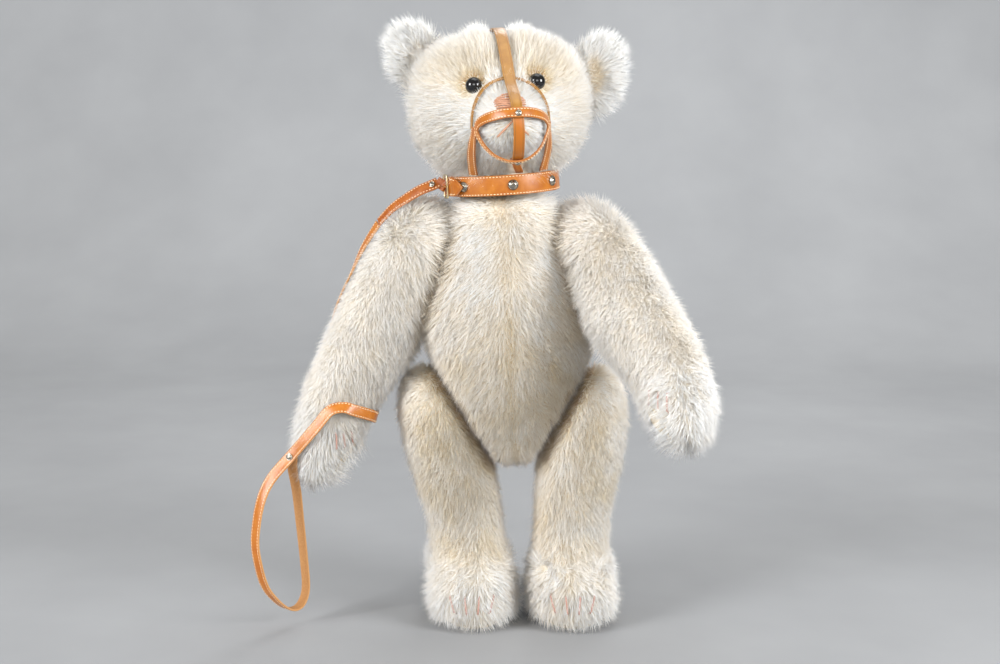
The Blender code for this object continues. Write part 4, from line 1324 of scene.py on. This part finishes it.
def groom(skin, name, comb, setup):
    # writes how the pile lies on each point and sets the backing in under it
    mesh = skin.data
    lies, tones, places = [], [], []
    for vert, normal in zip(mesh.vertices, mesh.vertex_normals):
        p, n = vert.co.copy(), normal.vector.copy()
        flow, stand, length, tone = comb(p, n)
        flow = flow + noise.noise_vector(p * 30) * 0.50 + noise.noise_vector(p * 85) * 0.25
        flow = (flow - n * flow.dot(n)).normalized()
        length *= 1 + 0.22 * noise.noise(p * 60)
        tone += setup["patchy"] * (0.22 * noise.noise(p * 24) + 0.16 * noise.noise(p * 75))
        # painted shade in the creases where pieces meet
        tone -= creaseShadeSetup["tone"] * paintedCreaseShade(name, p)
        pressed = pressedBy(name, p)
        depth = setup["depth"] * (1 - 0.9 * pressed)
        if pressed > 0.4:
            length = 0
        if name in pads:
            tree, reach, middle = pads[name]
            near = tree.find_nearest(p, padSetup["rim"])[3]
            if near is not None and near < reach:
                depth, length = 0.0004, 0
            elif near is not None:
                rim = 1 - near / padSetup["rim"]
                over = (middle - p).normalized()
                flow = flow.lerp((over - n * over.dot(n)).normalized(), 0.8 * rim)
                stand += 0.2 * rim
                length *= 1 + 0.35 * rim
        if name == "head":
            inNeck = neckPlace.inverted() @ p
            if inNeck.z < 0.018 and inNeck.xy.length < 0.060:
                depth, length = 0.0012, 0
            for tree in strapTrees:
                near = tree.find_nearest(p, 0.012)[3]
                if near is not None:
                    length *= 0.50 + 0.55 * step(0.0018, 0.0050, near)
            for centre, axis in eyeCentres.values():
                if offLine(p, centre, axis)[0] < 0.0074 and (p - centre).length < 0.02:
                    length = 0
        for run in clawLines.get(name, []):
            if min((p - point).length for point in run) < clawSetup["room"]:
                length *= 0.4
        if n.z < -0.7 and p.z < 0.012:
            length = 0
        lies.append((n * stand + flow).normalized() * max(length, 1e-5))
        tones.append(max(0.03, min(0.96, tone)))
        places.append(p - n * depth)
    mesh.vertices.foreach_set("co", np.array(places, dtype=np.float32).ravel())
    for key, kind, field, values in (("lie", "FLOAT_VECTOR", "vector", lies), ("tone", "FLOAT", "value", tones)):
        values = np.array(values, dtype=np.float32).ravel()
        mesh.attributes.new(key, kind, "POINT").data.foreach_set(field, values)
    mesh.update()


# Pile: three-sided strands one unit long, some as thick bent locks and more as fine straight hairs

strands = {
    "locks": {"heights": ((0.5, 0.80), (1.0, 0.0)), "bend": 1.7, "width": 0.00092, "stray": 0.22, "seed": 0},
    "hairs": {"heights": ((1.0, 0.0),), "bend": 0.0, "width": 0.00058, "stray": 0.32, "seed": 500},
}


spreads = {"length": (0.74, 1.18, 3), "width": (0.7, 1.25, 5), "tone": (-0.09, 0.09, 9)}  # from, to, seed
clumps = {"scale": 150.0, "share": 0.95}
leastLength = 0.003  # m, shorter pile isn't grown


def makeStrand(name, setup):
    bm = bmesh.new()
    along, across = (bm.verts.layers.float.new(key) for key in ("along", "across"))
    bmesh.ops.create_circle(bm, cap_ends=True, segments=3, radius=0.5)
    for i, vert in enumerate(bm.verts):
        vert[across] = i - 1
        vert[along] = 0.03 * (i == 1)
    rim = list(bm.edges)
    for height, size in setup["heights"]:
        grown = bmesh.ops.extrude_edge_only(bm, edges=rim)["geom"]
        verts = [g for g in grown if isinstance(g, bmesh.types.BMVert)]
        rim = [g for g in grown if isinstance(g, bmesh.types.BMEdge)]
        middle = sum((v.co for v in verts), Vector()) / len(verts)
        centre = Vector((setup["bend"] * height ** 2, 0, height))
        for v in verts:
            v.co = (v.co - middle) * size + centre
            v[along] = height
    bmesh.ops.remove_doubles(bm, verts=bm.verts, dist=1e-5)
    bmesh.ops.recalc_face_normals(bm, faces=bm.faces)
    mesh = bpy.data.meshes.new(name)
    bm.to_mesh(mesh)
    bm.free()
    return linked(name, mesh)


strandShapes = {name: makeStrand(name, setup) for name, setup in strands.items()}


def addStrands(tree, source, kind, density, seed, front):
    # scatters one kind of strand over the backing, each laid the way the pile was combed there
    setup = strands[kind]
    points = addNode(tree, "GeometryNodeDistributePointsOnFaces", {
        "Density": density, "Seed": seed + setup["seed"], "Mesh": source,
    }).outputs
    rooted = addNode(tree, "GeometryNodeStoreNamedAttribute", {
        "data_type": "FLOAT_VECTOR", "domain": "POINT", "Name": "rootNormal",
        "Geometry": points["Points"], "Value": points["Normal"],
    }).outputs[0]
    lie, tone, normal = (
        addNode(tree, "GeometryNodeInputNamedAttribute", {"data_type": dataType, "Name": key}).outputs["Attribute"]
        for key, dataType in (("lie", "FLOAT_VECTOR"), ("tone", "FLOAT"), ("rootNormal", "FLOAT_VECTOR"))
    )
    length = addNode(tree, "ShaderNodeVectorMath", {"operation": "LENGTH", 0: lie}).outputs["Value"]
    longer, wider, shade = (
        addNode(tree, "FunctionNodeRandomValue", {
            "data_type": "FLOAT", 2: low, 3: high, "Seed": seed + more,
        }).outputs[1]
        for low, high, more in spreads.values()
    )

    # the way it points: as combed, with a share of its clump's lean and a share of its own
    cloud = addNode(tree, "ShaderNodeTexNoise", {"Scale": clumps["scale"], "Detail": 1.0}).outputs["Color"]
    lean = addNode(tree, "ShaderNodeVectorMath", {
        "operation": "SUBTRACT", 0: cloud, 1: (0.5, 0.5, 0.5),
    }).outputs[0]
    lean = addNode(tree, "ShaderNodeVectorMath", {
        "operation": "SCALE", 0: lean, "Scale": clumps["share"],
    }).outputs[0]
    stray = addNode(tree, "FunctionNodeRandomValue", {
        "data_type": "FLOAT_VECTOR", 0: (-1, -1, -1), 1: (1, 1, 1), "Seed": seed,
    }).outputs[0]
    stray = addNode(tree, "ShaderNodeVectorMath", {
        "operation": "SCALE", 0: stray, "Scale": setup["stray"],
    }).outputs[0]
    sway = addNode(tree, "ShaderNodeVectorMath", {"operation": "ADD", 0: stray, 1: lean}).outputs[0]
    unit = addNode(tree, "ShaderNodeVectorMath", {"operation": "NORMALIZE", 0: lie}).outputs[0]
    aim = addNode(tree, "ShaderNodeVectorMath", {"operation": "ADD", 0: unit, 1: sway}).outputs[0]
    upright = addNode(tree, "FunctionNodeAlignRotationToVector", {"axis": "Z", "Vector": aim}).outputs[0]
    down = addNode(tree, "ShaderNodeVectorMath", {"operation": "SCALE", 0: normal, "Scale": -1.0}).outputs[0]
    turned = addNode(tree, "FunctionNodeAlignRotationToVector", {
        "axis": "X", "pivot_axis": "Z", "Rotation": upright, "Vector": down,
    }).outputs[0]

    # its size, and whether it grows in this half of the pile
    tall = addNode(tree, "ShaderNodeMath", {"operation": "MULTIPLY", 0: length, 1: longer}).outputs[0]
    thick = addNode(tree, "ShaderNodeMath", {"operation": "MULTIPLY", 0: wider, 1: setup["width"]}).outputs[0]
    scale = addNode(tree, "ShaderNodeCombineXYZ", {0: thick, 1: thick, 2: tall}).outputs[0]
    facing = addNode(tree, "ShaderNodeSeparateXYZ", {0: normal}).outputs["Y"]
    here, grows = (
        addNode(tree, "FunctionNodeCompare", {
            "data_type": "FLOAT", "operation": test, 0: value, 1: limit,
        }).outputs[0]
        for test, value, limit in (
            ("LESS_THAN" if front else "GREATER_EQUAL", facing, 0.0),
            ("GREATER_THAN", length, leastLength),
        )
    )
    chosen = addNode(tree, "FunctionNodeBooleanMath", {"operation": "AND", 0: here, 1: grows}).outputs[0]
    shape = addNode(tree, "GeometryNodeObjectInfo", {"Object": strandShapes[kind]}).outputs["Geometry"]
    placed = addNode(tree, "GeometryNodeInstanceOnPoints", {
        "Points": rooted, "Selection": chosen, "Instance": shape, "Rotation": turned, "Scale": scale,
    }).outputs[0]
    shaded = addNode(tree, "ShaderNodeMath", {"operation": "ADD", 0: tone, 1: shade}).outputs[0]
    return addNode(tree, "GeometryNodeStoreNamedAttribute", {
        "data_type": "FLOAT", "domain": "INSTANCE", "Name": "tone", "Geometry": placed, "Value": shaded,
    }).outputs[0]


backShare = 0.85  # the pile of the back halves is that much thinner


def pileTree(name, setup, seed, front):
    tree = bpy.data.node_groups.new(name, "GeometryNodeTree")
    for way in ("INPUT", "OUTPUT"):
        tree.interface.new_socket("Geometry", in_out=way, socket_type="NodeSocketGeometry")
    source = addNode(tree, "NodeGroupInput").outputs[0]
    both = addNode(tree, "GeometryNodeJoinGeometry")
    for kind in strands:
        density = setup[kind] * (1.0 if front else backShare)
        tree.links.new(addStrands(tree, source, kind, density, seed, front), both.inputs[0])
    real = addNode(tree, "GeometryNodeRealizeInstances", {"Geometry": both.outputs[0]})
    addNode(tree, "NodeGroupOutput", {0: real.outputs[0]})
    return tree


onFloor = 0.0006  # m, where hairs round the soles are held up
# where a strand lies in its UV map
pileMap = {"start": 0.02, "reach": 0.96, "low": 0.03, "high": 0.96, "row": 0.012}


def readAttribute(mesh, name, kind, width=1):
    values = np.zeros(len(mesh.vertices) * width, np.float32)
    mesh.attributes[name].data.foreach_get(kind, values)
    return values.reshape(-1, width) if width > 1 else values


def growPile(name, skin, setup, seed, front):
    piece = skin.copy()
    piece.name = name
    piece.data = skin.data.copy()
    scene.collection.objects.link(piece)
    piece.modifiers.new("pile", "NODES").node_group = pileTree(name, setup, seed, front)
    graph = bpy.context.evaluated_depsgraph_get()
    mesh = bpy.data.meshes.new_from_object(piece.evaluated_get(graph))
    piece.modifiers.clear()
    piece.data = mesh
    mesh.name = name
    spots = readAttribute(mesh, "position", "vector", 3)
    spots[:, 2] = np.maximum(spots[:, 2], onFloor)
    mesh.vertices.foreach_set("co", spots.ravel())
    roots = readAttribute(mesh, "rootNormal", "vector", 3)
    along, across, tone = (readAttribute(mesh, key, "value") for key in ("along", "across", "tone"))
    corners = np.zeros(len(mesh.loops), np.int32)
    mesh.loops.foreach_get("vertex_index", corners)
    # from the root, where the pile's painted shade lies, to the tip; pale skips part of that shade
    columns = pileMap["start"] + pileMap["reach"] * (setup["pale"] + (1 - setup["pale"]) * along)
    rows = np.clip(tone, pileMap["low"], pileMap["high"]) + pileMap["row"] * across
    uv = np.stack([columns[corners], rows[corners]], axis=1).astype(np.float32)
    mesh.uv_layers.new(name="OFBake").data.foreach_set("uv", uv.ravel())
    mesh.materials.clear()
    mesh.materials.append(mohairPile)
    mesh.shade_smooth()
    facing = np.zeros(len(mesh.vertices) * 3, np.float32)
    mesh.vertex_normals.foreach_get("vector", facing)
    rootShare, ownShare = setup["normals"]
    soft = roots * rootShare + facing.reshape(-1, 3) * ownShare
    soft /= np.maximum(np.linalg.norm(soft, axis=1, keepdims=True), 1e-6)
    mesh.normals_split_custom_set_from_vertices(soft.tolist())
    for key in ("rootNormal", "along", "across", "tone", "lie"):
        if key in mesh.attributes:
            mesh.attributes.remove(mesh.attributes[key])
    print(f"scene: {name} has {sum(len(face.vertices) - 2 for face in mesh.polygons)} triangles")
    return piece


def dressPlush(name, comb, seed):
    family = name.split("_")[-1]
    setup = plushSetup[family]
    covers = [name] if family == "ear" else [f"{name}_plush", f"{name}_stuffing"]
    skin = outerShape(f"{name}_backing", covers[0], name)
    groom(skin, name, comb, setup)
    piles = [
        growPile(f"{name}_pile_front", skin, setup, seed, True),
        growPile(f"{name}_pile_back", skin, setup, seed + 1, False),
    ]
    for key in ("lie", "tone"):
        skin.data.attributes.remove(skin.data.attributes[key])
    body = "head" if family == "ear" else name
    settle(skin, body, "mohair", *covers)
    for pile in piles:
        settle(pile, body, "mohair")


for k, (plushName, plushComb) in enumerate(combs.items()):
    dressPlush(plushName, plushComb, 10 * k + 1)
for strandShape in strandShapes.values():
    bpy.data.objects.remove(strandShape)
print("scene: plush combed")


# Bellows: a folded sheepskin tube between the weight and the reed board, which the weight presses together

bellowsSetup = {"folds": 5, "pinch": 0.0035, "steps": 48, "slack": 0.01}


def makeBellows(setup):
    low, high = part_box("growler_bellows")
    middle, height, radius = (low + high) / 2, high.z - low.z, (high.x - low.x) / 2
    count = 2 * setup["folds"]
    profile = [(0.0, height)]
    for k in range(count + 1):
        profile.append((radius - setup["pinch"] * (1 - k % 2), height * (1 - k / count)))
    bm = spinProfile(profile + [(0.0, 0.0)], setup["steps"])
    bmesh.ops.translate(bm, vec=(middle.x, middle.y, low.z), verts=bm.verts)
    bellows = addPiece("growler_bellows_folds", bm, finishes["sheepskin"], 25)
    settle(bellows, "torso", "bellows_leather", "growler_bellows")
    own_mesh(bellows)


makeBellows(bellowsSetup)


# Pads: felt with a soft edge

padEdge = {"width": 0.0005, "segments": 2, "limit_method": "ANGLE"}


def makePad(node, body):
    pad = addPiece(f"{node}_felt", mergedCopy(node), finishes["woolFelt"], 60)
    bevel = pad.modifiers.new("softEdge", "BEVEL")
    for key, value in padEdge.items():
        setattr(bevel, key, value)
    applyModifiers(pad)
    settle(pad, body, "felt", node)


for side in sides:
    makePad(f"{side}_paw_pad", f"{side}_arm")
    makePad(f"{side}_sole_pad", f"{side}_leg")
for clawBody, clawRuns in clawLines.items():
    makeClaws(clawBody, clawRuns)
print("scene: pads and claws sewn")


# Studio: a pale paper sweep, soft lamps and an even light all round

studioSetup = {
    "width": 24.0, "front": -3.0, "back": 2.2, "height": 4.5, "bend": 0.9,
    "air": {"Color": srgb("#DAD6CE"), "Strength": 0.62},
}


def makeSweep(setup):
    bm = bmesh.new()
    half, bend, start = setup["width"] / 2, setup["bend"], setup["back"] - setup["bend"]
    outline = [(setup["front"], 0.0), (start, 0.0)]
    for k in range(1, 13):
        angle = math.radians(90 * k / 12)
        outline.append((start + bend * math.sin(angle), bend * (1 - math.cos(angle))))
    outline.append((setup["back"], setup["height"]))
    verts = [bm.verts.new((-half, y, z)) for y, z in outline]
    edges = [bm.edges.new(pair) for pair in zip(verts, verts[1:])]
    grown = bmesh.ops.extrude_edge_only(bm, edges=edges)["geom"]
    bmesh.ops.translate(bm, vec=(2 * half, 0, 0), verts=[g for g in grown if isinstance(g, bmesh.types.BMVert)])
    bmesh.ops.recalc_face_normals(bm, faces=bm.faces)
    addPiece("paper_sweep", bm, finishes["studioPaper"], 60)


lampSetup = {
    "key": {"place": (-2.90, -1.90, 1.50), "aim": (0.0, 0.0, 0.30), "size": (1.5, 1.5), "power": 136},
    "fill": {"place": (2.95, -1.75, 1.35), "aim": (0.0, 0.0, 0.30), "size": (1.5, 1.5), "power": 132},
    "front": {"place": (0.15, -3.60, 1.55), "aim": (0.0, 0.0, 0.28), "size": (2.0, 1.4), "power": 42},
    "top": {"place": (0.1, 0.2, 2.2), "aim": (0.0, 0.05, 0.30), "size": (1.4, 1.0), "power": 9},
    "back": {"place": (0.5, 1.7, 1.8), "aim": (0.0, 0.0, 0.35), "size": (1.2, 0.9), "power": 18},
}


def makeLamps(setup):
    for name, lamp in setup.items():
        data = bpy.data.lights.new(name, "AREA")
        data.shape = "RECTANGLE"
        data.size, data.size_y = lamp["size"]
        data.energy = lamp["power"]
        made = linked(name, data)
        made.location = lamp["place"]
        made.rotation_euler = (Vector(lamp["aim"]) - made.location).to_track_quat("-Z", "Y").to_euler()


def makeWorld(air):
    world = scene.world = bpy.data.worlds.new("studio")
    world.use_nodes = True
    setNode(world.node_tree, world.node_tree.nodes["Background"], air)


makeSweep(studioSetup)
makeLamps(lampSetup)
makeWorld(studioSetup["air"])
print("scene: studio lit")
